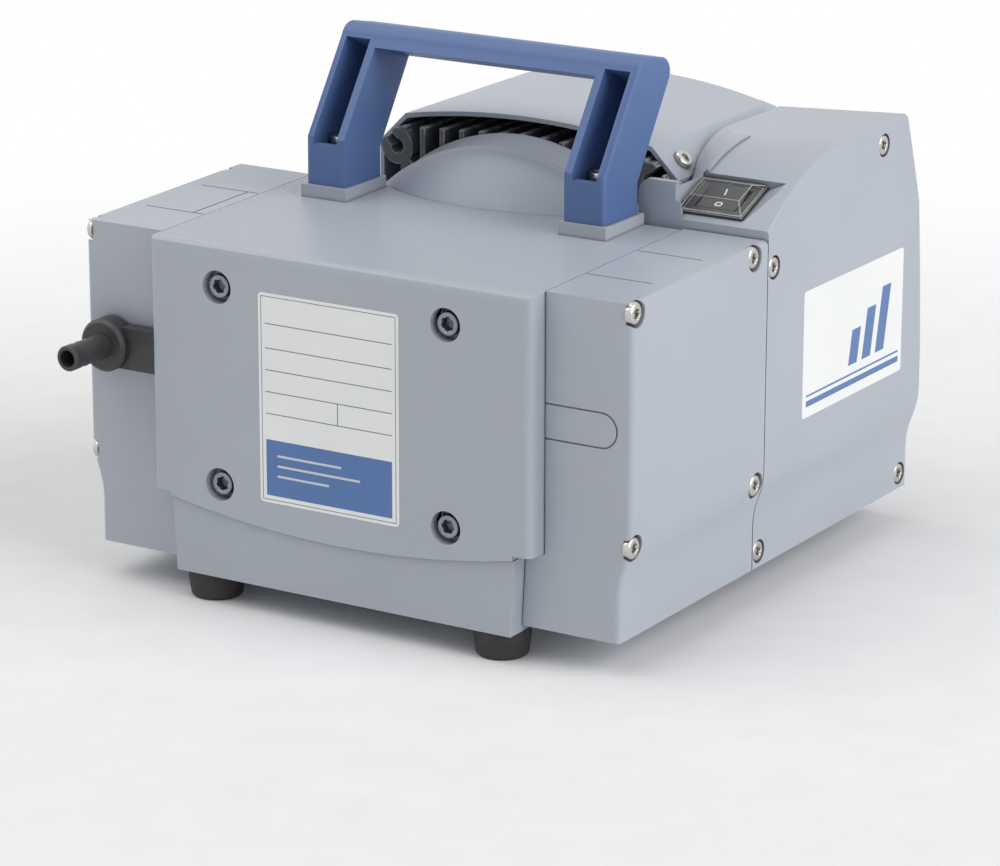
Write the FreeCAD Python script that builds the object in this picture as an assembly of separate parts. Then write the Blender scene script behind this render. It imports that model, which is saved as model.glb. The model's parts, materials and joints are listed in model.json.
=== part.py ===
import FreeCAD, Part
import math
import os

from FreeCAD import Vector

# Twin-head diaphragm vacuum pump, millimetres, +Z up, -Y is the front, +X the side with the switch.
# The origin is the middle of the object's outer box, on the surface that the feet stand on.

# Overall sizes
body_width = 243.0          # over the two head shells
head_depth = 101.4          # head shells, front to back
rear_depth = 133.1          # electrics shell, behind the head shells
hose_reach = 31.0           # inlet nozzle, in front of the head shells
foot_height = 11.2
block_height = 131.6        # top of the housing at the front, above its underside
top_rise = 2.0              # the top climbs by this over the depth of the heads
axis_height = 77.0          # shaft axis above the housing's underside

# Common clearances and walls
seam_gap = 0.3              # between neighbouring covers
bolt_gap = 0.1              # radial, screw in its hole
running_gap = 0.05          # radial, shaft in bearing
shell_wall = 3.0
edge_round = 2.0

# Housing
block_width = 170.0
narrow_top_width = 154.0    # lower body where it meets the wide part
narrow_bottom_width = 150.8
step_height = 32.2          # underside of the wide part
case_back = 99.0            # rear face, behind the shells' front
lip_proud = 8.0             # lower front face, in front of the shells
chamber_radius = 46.0
chamber_back = 86.0
side_bore_radius = 31.0
case_bearing_seat = 96.0    # where the front main bearing starts
shaft_hole_radius = 9.5

# Dome behind the housing, round about the shaft; it stands on the base plate
plate_thickness = 3.0
dome_front = 107.0
dome_back = 122.0
dome_front_radius = 75.6
dome_back_radius = 79.0
dome_foot_radius = 54.0
dome_foot = 86.0
dome_half_width = 66.0
dome_wall = 5.0
dome_hub_radius = 30.0
dome_hub_end = 108.0
dome_rib_count = 8
dome_rib = 4.0

# Front cover
cover_proud = 9.5
cover_thickness = 4.5
cover_round = 3.5
cover_arc_low = 22.8        # lowest point of its curved lower edge
cover_arc_end = 30.4
cover_screw_x = 52.4
cover_screw_drop = 38.8     # above and below the shaft axis
cover_sink_radius = 6.5
cover_sink_depth = 6.0
cover_boss_radius = 9.0
cover_boss_depth = 4.7
seal_width = 2.6
seal_thickness = 1.6

# Head shells
undercut = 4.4              # the outer side steps in towards the floor
undercut_low = 20.0
undercut_high = 44.0
shell_floor = 2.6
shell_screws = [(3.6, 127.4), (3.8, 39.3), (91.2, 128.9), (95.6, 38.9)]
screw_sink_radius = 5.2
screw_sink_depth = 3.0
shell_boss_radius = 6.0
slot_low = 76.0
slot_high = 90.0
slot_reach = 30.8           # from the housing's side to the slot's round end
groove_width = 0.7
groove_depth = 0.5
knockout_lines = [27.6, 64.6]
knockout_reach = 28.0
knockout_inner = 5.5        # closing line of the left one, from the housing's side

# Heads
crank_middle = 50.5         # between the two rods, behind the shells' front
rod_pitch = 10.0
head_radius = 40.0
diaphragm_thickness = 2.0
head_plate_thickness = 14.0
head_cover_thickness = 12.0
chamber_dish = 7.2
head_bolt_circle = 36.0
port_offset = 14.0
port_radius = 4.0
valve_radius = 7.0
valve_thickness = 1.0

# Crank drive
throw = 3.0
eccentric_radius = 10.0
shaft_radius = 7.5
rod_bearing_radius = 16.0
rod_bearing_width = 9.0
rod_eye_radius = 20.0
rod_width = 8.0
disc_radius = 16.0
disc_thickness = 3.0
stud_radius = 3.0
weight_radius = 36.0
weight_width = 8.0
main_bearing_radius = 17.5
main_bearing_width = 11.0

# Motor
motor_front = dome_back
motor_back = 192.0
core_radius = 56.0
stator_radius = 50.0
stator_bore = 29.0
rotor_gap = 0.5
stack_start = 136.0
stack_end = 178.0
winding_radius = 44.0
winding_reach = 10.0
fin_top = 79.0              # above the shaft axis
fin_side = 64.0
fin_bottom = 70.0
fin_pitch = 9.2
fin_width = 2.2
channel_x = 58.0            # corner screw channels, open towards the corners
channel_z = 67.4
channel_radius = 7.4
channel_mouth = 4.0
tie_bolt_radius = 2.5
tie_bolt_reach = 34.0
end_shield_thickness = 8.0
end_hub_radius = 25.0

# Fan
fan_start = 203.0
fan_width = 12.0
fan_radius = 56.0
fan_hub_radius = 14.0
blade_count = 9
blade_thickness = 1.6

# Shroud and rear grille
shroud_front = 126.0
shroud_back = 219.7
shroud_half_width = 68.6
shroud_wall = 1.8
shroud_crown = 162.4        # at the front; the crown climbs by the rise below towards the rear
shroud_rise = 1.9
shroud_shoulder = 157.2
shroud_corner_x = 56.6
shroud_corner_drop = 145.2
shroud_floor = 8.0
shroud_screw_rows = [137.7, 184.0]
shroud_screw_shift = 1.1    # below the middle of the slanted corner
grille_back = 229.0
grille_slope = 5.6
grille_step = 3.0           # the grille stands inside the shroud's outline
grille_collar = 5.0         # reaches into the shroud
slot_count = 9
slot_width = 4.6
slot_pitch = 10.6

# Electrics shell
electrics_inner = shroud_half_width + 0.2
electrics_front = head_depth + seam_gap
arch_start = 137.0
arch_middle = (128.0, 152.6)
arch_end = (165.0, 160.0)
arch_back = (17.6, 161.4)    # this and the next three: in front of the rear, height
arch_tilt = 3.6             # the top falls by this towards the inner side, at the rear
rear_shoulder = (10.4, 140.5)
rear_knee = (4.9, 123.5)
rear_bulge = (2.0, 91.6)
rear_straight = 60.0
rear_undercut = 1.6
ridge_width = 14.7          # raised strip between the switch and the shroud
ridge_top = [(156.0, 159.4), (136.0, 156.4, 118.0, 150.2)]
hollow_top = [(170.0, 157.8), (149.0, 150.2, 139.5, 141.0)]
wing_inner = 65.0           # front wall and top reach so far in, over the shroud's slanted corner
wing_low = 125.0
wing_top = 151.0
wing_round = 5.5
outer_round = 1.2
rear_round = 4.0
electrics_floor = 2.6
electrics_screw_front = 4.9  # behind the shell's front wall
electrics_screw_back = [38.1, 7.9]      # in front of its rear, the high and the low one
electrics_screw_heights = [122.2, 152.0, 8.9, 8.9]
electrics_boss_radius = 6.6
electrics_sink_depth = 2.7
panel_thickness = 1.5

# Switch, sunk into the sloping part of the electrics shell
switch_x = 95.0
seat_low = (103.8, 138.7)
seat_high = (124.8, 147.0)
seat_flank = 10.0           # run and rise of the recess's outer flank
seat_flank_rise = 4.8
frame_width = 27.2
frame_length = 22.2
frame_flange = 1.2
can_width = 21.6
can_length = 17.6
can_wall = 1.6
frame_depth = 12.0
rocker_width = 16.4
rocker_length = 12.6
rocker_tilt = 8.0
rocker_pivot_radius = 1.5
rocker_pivot_height = -1.0
rocker_rise = 0.9
cap_margin = 0.2            # from the frame's edge
cap_land = 0.9              # upright strip at the cap's foot
cap_height = 4.2
cap_wall = 0.9
cap_run_side = 2.8          # bevel runs
cap_run_end = 5.4

# Appliance inlet at the rear of the electrics shell
inlet_width = 27.0
inlet_height = 19.6
inlet_x = 95.0
inlet_z = 53.0
socket_width = 23.4
socket_height = 15.6
socket_depth = 15.0
pin_length = 9.0
capacitor_radius = 17.0
capacitor_length = 62.0

# Handle
handle_half_width = 67.5
leg_width = 17.6
leg_front = 71.6
leg_back = 97.4
pad_height = 138.1
knee_front = 157.0
knee_back = 150.0
bar_low_front = 190.0         # heights of the bar's underside
bar_low_back = 182.5
bar_top = [
    (120.6, 185.8), (121.3, 190.6, 115.4, 195.2), (104.0, 197.6), (99.2, 196.8, 96.2, 193.3),
]
handle_round = 1.6
pocket_wall = 3.2
pocket_floor = 151.0
pocket_lip = 154.3
pad_margin = 1.6

# Feet and base plate
foot_radius = 11.0
foot_taper = 1.0
front_foot = (65.0, 3.5)
rear_foot = (50.0, 192.0)
plate_half_width = 64.0
plate_back = 226.0
cradle_width = 12.0

# Ports
inlet_axis_x = 108.5
inlet_axis_z = 84.8
collar_radius = 10.4
collar_length = 8.5
block_front = 6.0
block_low = 76.0
block_top = 92.5
nozzle_radius = 5.0
nozzle_bore = 3.4
barb_count = 3
barb_pitch = 4.0
barb_depth = 0.55
tip_land = 5.0
tip_bevel = 0.5
stem_radius = 6.0
pipe_radius = 4.0
pipe_bore = 2.8
pipe_bend = 12.0
pipe_height = 19.0
inlet_pipe = 36.0
outlet_pipe = 66.0
pipe_x = 107.0

# Derived places
shell_front_y = hose_reach - (hose_reach + head_depth + rear_depth) / 2
half_width = body_width / 2
half_block = block_width / 2
whole_depth = head_depth + rear_depth
electrics_screws = list(zip([
    electrics_front + electrics_screw_front, whole_depth - electrics_screw_back[0],
    whole_depth - electrics_screw_back[1], electrics_front + electrics_screw_front,
], electrics_screw_heights))
cover_back = cover_thickness - cover_proud
side_directions = {"left": -1, "right": 1}


def back(distance):
    # Y of a place that lies so far behind the head shells' front face
    return shell_front_y + distance


def up(height):
    # Z of a place that lies so far above the housing's underside
    return foot_height + height


def top_at(distance):
    return up(block_height) + top_rise * distance / head_depth


axis_z = up(axis_height)
shaft_point = Vector(0, 0, axis_z)
rod_places = {"left": crank_middle - rod_pitch / 2, "right": crank_middle + rod_pitch / 2}


# Helpers for solids

def box(x0, x1, y0, y1, z0, z1):
    return Part.makeBox(x1 - x0, y1 - y0, z1 - z0, Vector(x0, y0, z0))


def along(axis):
    return {"x": Vector(1, 0, 0), "y": Vector(0, 1, 0), "z": Vector(0, 0, 1)}[axis]


def cylinder(axis, start, radius, length):
    return Part.makeCylinder(radius, length, start, along(axis))


def face(points, plane):
    # An outline of corners (u, v); (mu, mv, u, v) arrives by an arc through (mu, mv)
    place = {
        "xz": lambda u, v: Vector(u, 0, v),
        "yz": lambda u, v: Vector(0, u, v),
        "xy": lambda u, v: Vector(u, v, 0),
    }[plane]
    edges = []
    here = place(*points[0][-2:])
    for point in points[1:] + points[:1]:
        there = place(*point[-2:])
        if len(point) == 4:
            edges.append(Part.Arc(here, place(*point[:2]), there).toShape())
        elif here.distanceToPoint(there) > 1e-6:
            edges.append(Part.makeLine(here, there))
        here = there
    return Part.Face(Part.Wire(edges))


def side_view(points):
    # Side view points, given as distance and height, as (Y, Z) places in the object
    places = []
    for point in points:
        places.append(tuple(value for k in range(0, len(point), 2) for value in (back(point[k]),
                                                                                 up(point[k + 1]))))
    return places


def prism(points, plane, start, length):
    push = {"xz": Vector(0, 1, 0), "yz": Vector(1, 0, 0), "xy": Vector(0, 0, 1)}[plane]
    sheet = face(points, plane)
    sheet.translate(push * start)
    return sheet.extrude(push * length)


def turned(points, axis, centre):
    # Outline points are (along, radius) for x, (radius, along) for y and z
    plane = {"x": "xy", "y": "xy", "z": "xz"}[axis]
    solid = face(points, plane).revolve(Vector(0, 0, 0), along(axis), 360)
    if solid.Volume < 0:
        solid.reverse()
    solid.translate(centre)
    return solid


def join(pieces):
    return pieces[0].multiFuse(pieces[1:]).removeSplitter()


def mirrored(shape):
    return shape.mirror(Vector(0, 0, 0), Vector(1, 0, 0))


def on_side(shape, side):
    return shape if side == "right" else mirrored(shape)


def rounded(shape, radius, wanted):
    edges = [edge for edge in shape.Edges if wanted(edge)]
    return shape.makeFillet(radius, edges)


def edge_at(edge, axis, value, tolerance=0.01):
    limits = {
        "x": (edge.BoundBox.XMin, edge.BoundBox.XMax),
        "y": (edge.BoundBox.YMin, edge.BoundBox.YMax),
        "z": (edge.BoundBox.ZMin, edge.BoundBox.ZMax),
    }[axis]
    return abs(limits[0] - value) < tolerance and abs(limits[1] - value) < tolerance


def screw(seat, direction, shank_radius, length, head_radius, head_height):
    # A cap screw whose head stands on the seat point and whose shank runs along the direction
    socket = head_radius * 0.48
    head = turned([
        (0, -head_height), (head_radius * 0.8, -head_height),
        (head_radius, -head_height * 0.6), (head_radius, 0),
        (shank_radius, 0), (shank_radius, length), (0, length),
    ], "z", Vector(0, 0, 0))
    corners = [Vector(socket * math.cos(math.radians(60 * k)), socket * math.sin(math.radians(60 * k)),
                      -head_height)
               for k in range(6)]
    hexagon = Part.Face(Part.makePolygon(corners + corners[:1])).extrude(Vector(0, 0, head_height * 0.55))
    solid = head.cut(hexagon)
    turn = FreeCAD.Rotation(Vector(0, 0, 1), direction)
    solid.Placement = FreeCAD.Placement(seat, turn)
    return solid


def save(name, shapes):
    shape = shapes if isinstance(shapes, Part.Shape) else Part.makeCompound(shapes)
    shape.exportStep("parts/" + name + ".step")


# Screw sizes: shank radius, head radius, head height
cover_screw = (2.9, 4.6, 4.6)
shell_screw = (2.0, 4.3, 2.6)
head_bolt = (2.4, 4.2, 4.0)
handle_screw = (2.9, 5.0, 5.0)
foot_screw = (2.4, 4.4, 2.6)
shroud_screw = (1.9, 4.0, 2.4)
cover_screw_length = 14.0
shell_thread = 9.0
head_thread = 9.0
handle_thread = 16.0
foot_thread = 10.0


def cover_screw_places():
    return [(x, axis_z + z) for x in (-cover_screw_x, cover_screw_x)
            for z in (-cover_screw_drop, cover_screw_drop)]


def head_bolt_places(side):
    reach = head_bolt_circle / math.sqrt(2)
    return [(back(rod_places[side]) + y, axis_z + z) for y in (-reach, reach) for z in (-reach, reach)]


# Housing

def narrow_body(front, rear):
    return prism([
        (-narrow_bottom_width / 2, up(0)), (narrow_bottom_width / 2, up(0)),
        (narrow_top_width / 2, up(step_height)), (-narrow_top_width / 2, up(step_height)),
    ], "xz", back(front), rear - front)


def make_crankcase():
    wide = prism([
        (back(cover_back), up(step_height)), (back(case_back), up(step_height)),
        (back(case_back), top_at(case_back)), (back(cover_back), top_at(cover_back)),
    ], "yz", -half_block, block_width)
    arc_half = narrow_top_width / 2 + 1
    above_arc = prism([
        (-arc_half, up(cover_arc_end) - seam_gap),
        (0, up(cover_arc_low) - seam_gap, arc_half, up(cover_arc_end) - seam_gap),
        (arc_half, up(step_height) + 1), (-arc_half, up(step_height) + 1),
    ], "xz", back(-lip_proud) - 1, lip_proud + cover_back + 1)
    lower = narrow_body(-lip_proud, case_back).cut(above_arc)
    skirt_middle = (
        (dome_foot_radius + dome_front_radius) / 2 - 1.4,
        back((dome_foot + dome_front) / 2 + 1.4),
    )
    dome = turned([
        (0, back(dome_foot)), (dome_foot_radius, back(dome_foot)),
        (skirt_middle[0], skirt_middle[1], dome_front_radius, back(dome_front)),
        (dome_back_radius, back(dome_back) - 1), (dome_back_radius, back(dome_back)),
        (0, back(dome_back)),
    ], "y", shaft_point)
    dome = dome.common(box(
        -dome_half_width, dome_half_width, back(dome_foot), back(dome_back),
        up(plate_thickness), axis_z + dome_back_radius + 1,
    ))
    pads = [box(
        side * handle_half_width - (side > 0) * leg_width - pad_margin,
        side * handle_half_width + (side < 0) * leg_width + pad_margin,
        back(leg_front) - pad_margin, back(leg_back) + pad_margin,
        up(block_height) - 2, up(pad_height),
    ) for side in (-1, 1)]
    casting = join([wide, lower, dome] + pads)
    tools = [cylinder("y", Vector(0, back(cover_back) - 1, axis_z), chamber_radius,
                      chamber_back - cover_back + 1)]
    tools.append(cylinder("y", Vector(0, back(chamber_back) - 1, axis_z), shaft_hole_radius,
                          dome_back - chamber_back + 2))
    tools.append(cylinder("y", Vector(0, back(case_bearing_seat), axis_z),
                          main_bearing_radius, dome_back - case_bearing_seat + 1))
    well_start = dome_front - 1
    well = cylinder("y", Vector(0, back(well_start), axis_z),
                    dome_front_radius - dome_wall, dome_back - well_start + 1)
    well = well.common(box(
        dome_wall - dome_half_width, dome_half_width - dome_wall, back(well_start), back(dome_back) + 1,
        up(plate_thickness + dome_wall), axis_z + dome_back_radius,
    ))
    hub = cylinder("y", Vector(0, back(well_start), axis_z), dome_hub_radius, dome_hub_end - well_start)
    ribs = []
    for k in range(dome_rib_count):
        rib = box(-dome_rib / 2, dome_rib / 2, back(well_start), back(dome_back) - dome_wall,
                  axis_z, axis_z + dome_back_radius)
        rib.rotate(shaft_point, Vector(0, 1, 0), (k + 0.5) * 360 / dome_rib_count)
        ribs.append(rib)
    tools.append(well.cut(join([hub] + ribs)))
    for side, sign in side_directions.items():
        y = back(rod_places[side])
        tools.append(cylinder("x", Vector(min(0, sign * (half_block + 1)), y, axis_z), side_bore_radius,
                              half_block + 1))
        for place in head_bolt_places(side):
            x = half_block if sign > 0 else -half_block
            tools.append(cylinder("x", Vector(x - head_thread - 1, *place), head_bolt[0] + bolt_gap,
                                  2 * head_thread + 2))
        for distance, height in shell_screws:
            tools.append(cylinder("x",
                                  Vector(sign * half_block - shell_thread - 1, back(distance), up(height)),
                                  shell_screw[0] + bolt_gap, 2 * shell_thread + 2))
        tools.append(cylinder("z", Vector(sign * front_foot[0], back(front_foot[1]), up(0) - 1),
                              foot_screw[0] + bolt_gap, foot_thread + 2))
        handle_x = sign * (handle_half_width - leg_width / 2)
        handle_y = back((leg_front + leg_back) / 2)
        tools.append(cylinder("z", Vector(handle_x, handle_y, up(pad_height) - handle_thread - 1),
                              handle_screw[0] + bolt_gap, handle_thread + 2))
    for x, z in cover_screw_places():
        tools.append(cylinder("y", Vector(x, back(cover_back) - 1, z), cover_screw[0] + bolt_gap,
                              cover_screw_length + 9))
        tools.append(cylinder("y", Vector(x, back(cover_back) - 1, z), cover_boss_radius + seam_gap,
                              cover_boss_depth + seam_gap + 1))
    for distance in (inlet_pipe, outlet_pipe):
        tools.append(cylinder("x", Vector(-half_block, back(distance), up(pipe_height)), pipe_radius + 1,
                              block_width))
    return casting.cut(tools)


def make_front_cover():
    half_narrow = narrow_top_width / 2
    plate = prism([
        (-half_block, up(step_height)), (-half_narrow, up(step_height)), (-half_narrow, up(cover_arc_end)),
        (0, up(cover_arc_low), half_narrow, up(cover_arc_end)), (half_narrow, up(step_height)),
        (half_block, up(step_height)), (half_block, top_at(cover_back)), (-half_block, top_at(cover_back)),
    ], "xz", back(-cover_proud), cover_thickness)
    front = back(-cover_proud)

    def outer_front_edge(edge):
        sides = edge_at(edge, "x", half_block) or edge_at(edge, "x", -half_block)
        return edge_at(edge, "y", front) and (sides or edge_at(edge, "z", top_at(cover_back)))

    plate = rounded(plate, cover_round, outer_front_edge)
    bosses = [cylinder("y", Vector(x, back(cover_back) - 1, z), cover_boss_radius, cover_boss_depth + 1)
              for x, z in cover_screw_places()]
    spigot = cylinder("y", Vector(0, back(cover_back) - 1, axis_z), chamber_radius - seam_gap,
                      seal_thickness + 3)
    spigot = spigot.cut(cylinder("y", Vector(0, back(cover_back), axis_z), chamber_radius - 5,
                                 seal_thickness + 3))
    plate = join([plate, spigot] + bosses)
    groove = cylinder("y", Vector(0, back(cover_back), axis_z), chamber_radius, seal_thickness)
    groove = groove.cut(cylinder("y", Vector(0, back(cover_back), axis_z), chamber_radius - seal_width,
                                 seal_thickness))
    tools = [groove]
    for x, z in cover_screw_places():
        tools.append(cylinder("y", Vector(x, front - 1, z), cover_sink_radius, cover_sink_depth + 1))
        tools.append(cylinder("y", Vector(x, front, z), cover_screw[0] + bolt_gap,
                              cover_thickness + cover_boss_depth + 1))
    return plate.cut(tools)


def make_cover_seal():
    ring = cylinder("y", Vector(0, back(cover_back), axis_z), chamber_radius, seal_thickness)
    return ring.cut(cylinder("y", Vector(0, back(cover_back), axis_z), chamber_radius - seal_width,
                             seal_thickness))


def make_cover_screws():
    return [screw(Vector(x, back(-cover_proud) + cover_sink_depth, z), Vector(0, 1, 0),
                  cover_screw[0], cover_screw_length, *cover_screw[1:]) for x, z in cover_screw_places()]


# Head shells

def side_outline(inset, inner_low, inner_high, floor, top):
    # Front view of a side shell: straight wall that steps in towards the floor by two equal arcs
    outer = half_width - inset
    middle_z = (undercut_low + undercut_high) / 2
    half_rise = (undercut_high - undercut_low) / 2
    radius = (undercut ** 2 / 4 + half_rise ** 2) / undercut
    turn = math.asin(half_rise / radius) / 2
    bulge_x = radius * (1 - math.cos(turn))
    bulge_z = radius * math.sin(turn)
    return [
        (inner_low, floor), (outer - undercut, floor), (outer - undercut, up(undercut_low)),
        (outer - undercut + bulge_x, up(undercut_low) + bulge_z, outer - undercut / 2, up(middle_z)),
        (outer - bulge_x, up(undercut_high) - bulge_z, outer, up(undercut_high)),
        (outer, top), (inner_high, top),
    ]


def make_head_shell(side):
    depth = head_depth - seam_gap
    inner = half_block + seam_gap
    narrow = narrow_top_width / 2 + seam_gap
    high = top_at(head_depth) + 1
    outline = side_outline(0, narrow_bottom_width / 2 + seam_gap, inner, up(shell_floor), high)
    outline += [(inner, up(step_height) - seam_gap), (narrow, up(step_height) - seam_gap)]
    slope = prism([
        (back(0), up(0)), (back(depth), up(0)), (back(depth), top_at(depth)), (back(0), top_at(0)),
    ], "yz", 0, half_width + 1)
    envelope = prism(outline, "xz", back(0), depth).common(slope)

    def outer_edge(edge):
        at_top = edge.BoundBox.ZMin > top_at(0) - 0.1 and edge_at(edge, "x", half_width)
        at_front = edge_at(edge, "y", back(0)) and edge_at(edge, "x", half_width)
        return at_top or at_front

    envelope = rounded(envelope, edge_round, outer_edge)
    hollow = prism(
        side_outline(shell_wall, narrow - shell_wall - 8, narrow - shell_wall - 8,
                     up(shell_floor) + shell_wall, up(block_height) - shell_wall),
        "xz", back(shell_wall), depth - 2 * shell_wall)
    shell = envelope.cut(hollow)
    bosses = []
    tools = []
    for distance, height in shell_screws:
        start = Vector(inner, back(distance), up(height))
        boss = cylinder("x", start, shell_boss_radius, half_width - shell_wall - inner + 1)
        bosses.append(boss.common(envelope))
        tools.append(cylinder("x", start - Vector(1, 0, 0), shell_screw[0] + bolt_gap,
                              half_width - inner + 2))
        tools.append(cylinder("x", Vector(half_width - screw_sink_depth, start.y, start.z),
                              screw_sink_radius, screw_sink_depth + 1))
    shell = join([shell] + bosses)
    for line in knockout_lines:
        tools.append(box(inner + 0.5, inner + knockout_reach, back(line), back(line) + groove_width,
                         top_at(line) - groove_depth, top_at(line) + 1))
    if side == "left":
        first, last = knockout_lines
        tools.append(prism([
            (back(first), top_at(first) - groove_depth), (back(last), top_at(last) - groove_depth),
            (back(last), top_at(last) + 1), (back(first), top_at(first) + 1),
        ], "yz", half_block + knockout_inner, groove_width))
    end_radius = (slot_high - slot_low) / 2
    slot_end = half_block + slot_reach - end_radius
    if side == "left":
        tools.append(slot_prism(inner - 1, slot_end, end_radius, -1, shell_wall + 1))
        port_y = back(head_depth) - shell_wall - 2
        tools.append(cylinder("y", Vector(pipe_x, port_y, up(inlet_axis_z)), stem_radius, shell_wall + 3))
    else:
        groove = slot_prism(inner - 1, slot_end, end_radius, -1, groove_depth)
        tools.append(groove.cut(slot_prism(inner - 2, slot_end, end_radius - groove_width, -2,
                                           groove_depth + 2)))
    return on_side(shell.cut(tools), side)


def slot_prism(start_x, end_x, radius, start, stop):
    middle = up((slot_low + slot_high) / 2)
    return prism([
        (start_x, middle - radius), (end_x, middle - radius),
        (end_x + radius, middle, end_x, middle + radius), (start_x, middle + radius),
    ], "xz", back(start), stop - start)


def make_shell_screws():
    screws = []
    length = half_width - screw_sink_depth - half_block + shell_thread - 1
    for sign in side_directions.values():
        for distance, height in shell_screws:
            seat = Vector(sign * (half_width - screw_sink_depth), back(distance), up(height))
            screws.append(screw(seat, Vector(-sign, 0, 0), shell_screw[0], length, *shell_screw[1:]))
    return screws


# Pump heads, drawn for the right side and mirrored for the left

def pipe_entry():
    # Height of the pipes' ends, inside the round head covers
    return axis_z - math.sqrt(head_radius ** 2 - rod_pitch ** 2) + 8


def head_stack():
    # X of the diaphragm, head plate, head cover and the cover's outer face
    plate = half_block + diaphragm_thickness
    cover = plate + head_plate_thickness
    return half_block, plate, cover, cover + head_cover_thickness


def head_centre(side):
    return Vector(0, back(rod_places[side]), axis_z)


def swing(side):
    # At rest the eccentric points to +X, so the right diaphragm is pushed out and the left one drawn in
    return throw * side_directions[side]


def bolt_holes(side, start, length):
    return [cylinder("x", Vector(start, y, z), head_bolt[0] + bolt_gap, length) for y,
            z in head_bolt_places(side)]


def make_head_plate(side):
    start, plate, cover, end = head_stack()
    flat = disc_radius + throw + 1
    body = turned([
        (plate, side_bore_radius), (plate + chamber_dish, flat), (plate + chamber_dish, 0),
        (cover, 0), (cover, head_radius), (plate, head_radius),
    ], "x", head_centre(side))
    tools = bolt_holes(side, plate - 1, head_plate_thickness + 2)
    for sign in (-1, 1):
        centre = head_centre(side) + Vector(0, 0, sign * port_offset)
        tools.append(cylinder("x", centre + Vector(plate, 0, 0), port_radius, head_plate_thickness + 1))
        tools.append(cylinder("x", centre + Vector(cover - valve_thickness, 0, 0), valve_radius,
                              valve_thickness + 1))
    return on_side(body.cut(tools), side)


def make_head_cover(side):
    start, plate, cover, end = head_stack()
    body = turned([
        (cover, 0), (end, 0), (end, head_radius - 3), (end - 3, head_radius), (cover, head_radius),
    ], "x", head_centre(side))
    tools = bolt_holes(side, cover - 1, head_cover_thickness + 2)
    for sign in (-1, 1):
        centre = head_centre(side) + Vector(0, 0, sign * port_offset)
        tools.append(cylinder("x", centre + Vector(cover - 1, 0, 0), valve_radius - 1,
                              head_cover_thickness - 3))
    for k in range(3):
        middle = head_centre(side).z + (k - 1) * 9
        tools.append(box(end - 2, end + 1, head_centre(side).y - head_radius + 10,
                         head_centre(side).y + head_radius - 10, middle - 2.5, middle + 2.5))
    floor = axis_z - head_radius
    for distance in (inlet_pipe, outlet_pipe):
        tools.append(cylinder("z", Vector(pipe_x, back(distance), floor - 1), pipe_radius + bolt_gap,
                              pipe_entry() + 1.5 - floor))
    if side == "left":
        port = up(inlet_axis_z)
        for step in (-1, 1):
            reach = math.sqrt((head_radius + 1) ** 2 - (port - axis_z) ** 2)
            start_y = head_centre(side).y + (step < 0) * -reach + (step > 0) * (reach - 12)
            tools.append(cylinder("y", Vector(pipe_x, start_y, port), stem_radius - 1 + bolt_gap, 12))
    return on_side(body.cut(tools), side)


def make_head_bolts():
    start, plate, cover, end = head_stack()
    bolts = []
    for side, sign in side_directions.items():
        for y, z in head_bolt_places(side):
            bolts.append(screw(Vector(sign * end, y, z), Vector(-sign, 0, 0), head_bolt[0],
                               end - half_block + head_thread - 1, *head_bolt[1:]))
    return bolts


def make_valve_discs():
    start, plate, cover, end = head_stack()
    discs = []
    for side in side_directions:
        for sign in (-1, 1):
            centre = head_centre(side) + Vector(cover - valve_thickness + 0.1, 0, sign * port_offset)
            disc = cylinder("x", centre, valve_radius - 0.5, valve_thickness - 0.2)
            discs.append(on_side(disc, side))
    return discs


def diaphragm_middle(side):
    # X of the middle plane of the diaphragm's centre, on its own side, at rest
    return half_block + diaphragm_thickness / 2 + swing(side)


def make_diaphragm(side):
    half = diaphragm_thickness / 2
    edge = half_block + half
    middle = diaphragm_middle(side)
    ring = turned([
        (edge - half, head_radius), (edge - half, side_bore_radius),
        (middle - half, disc_radius - 1), (middle - half, stud_radius + bolt_gap),
        (middle + half, stud_radius + bolt_gap), (middle + half, disc_radius - 1),
        (edge + half, side_bore_radius), (edge + half, head_radius),
    ], "x", head_centre(side))
    return on_side(ring.cut(bolt_holes(side, half_block - 1, diaphragm_thickness + 2)), side)


def make_clamp_disc(side):
    start = diaphragm_middle(side) + diaphragm_thickness / 2
    radius = disc_radius - 1
    disc = turned([
        (start, stud_radius + bolt_gap), (start, radius), (start + 1, radius),
        (start + disc_thickness, radius - 5), (start + disc_thickness, 0), (start + disc_thickness - 1, 0),
        (start + disc_thickness - 1, stud_radius + bolt_gap),
    ], "x", head_centre(side))
    return on_side(disc, side)


def make_support_disc(side):
    end = diaphragm_middle(side) - diaphragm_thickness / 2
    disc = turned([
        (end - disc_thickness, stud_radius + bolt_gap), (end - disc_thickness, disc_radius - 4),
        (end - 1, disc_radius - 1), (end, disc_radius - 1), (end, stud_radius + bolt_gap),
    ], "x", head_centre(side))
    return on_side(disc, side)


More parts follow.
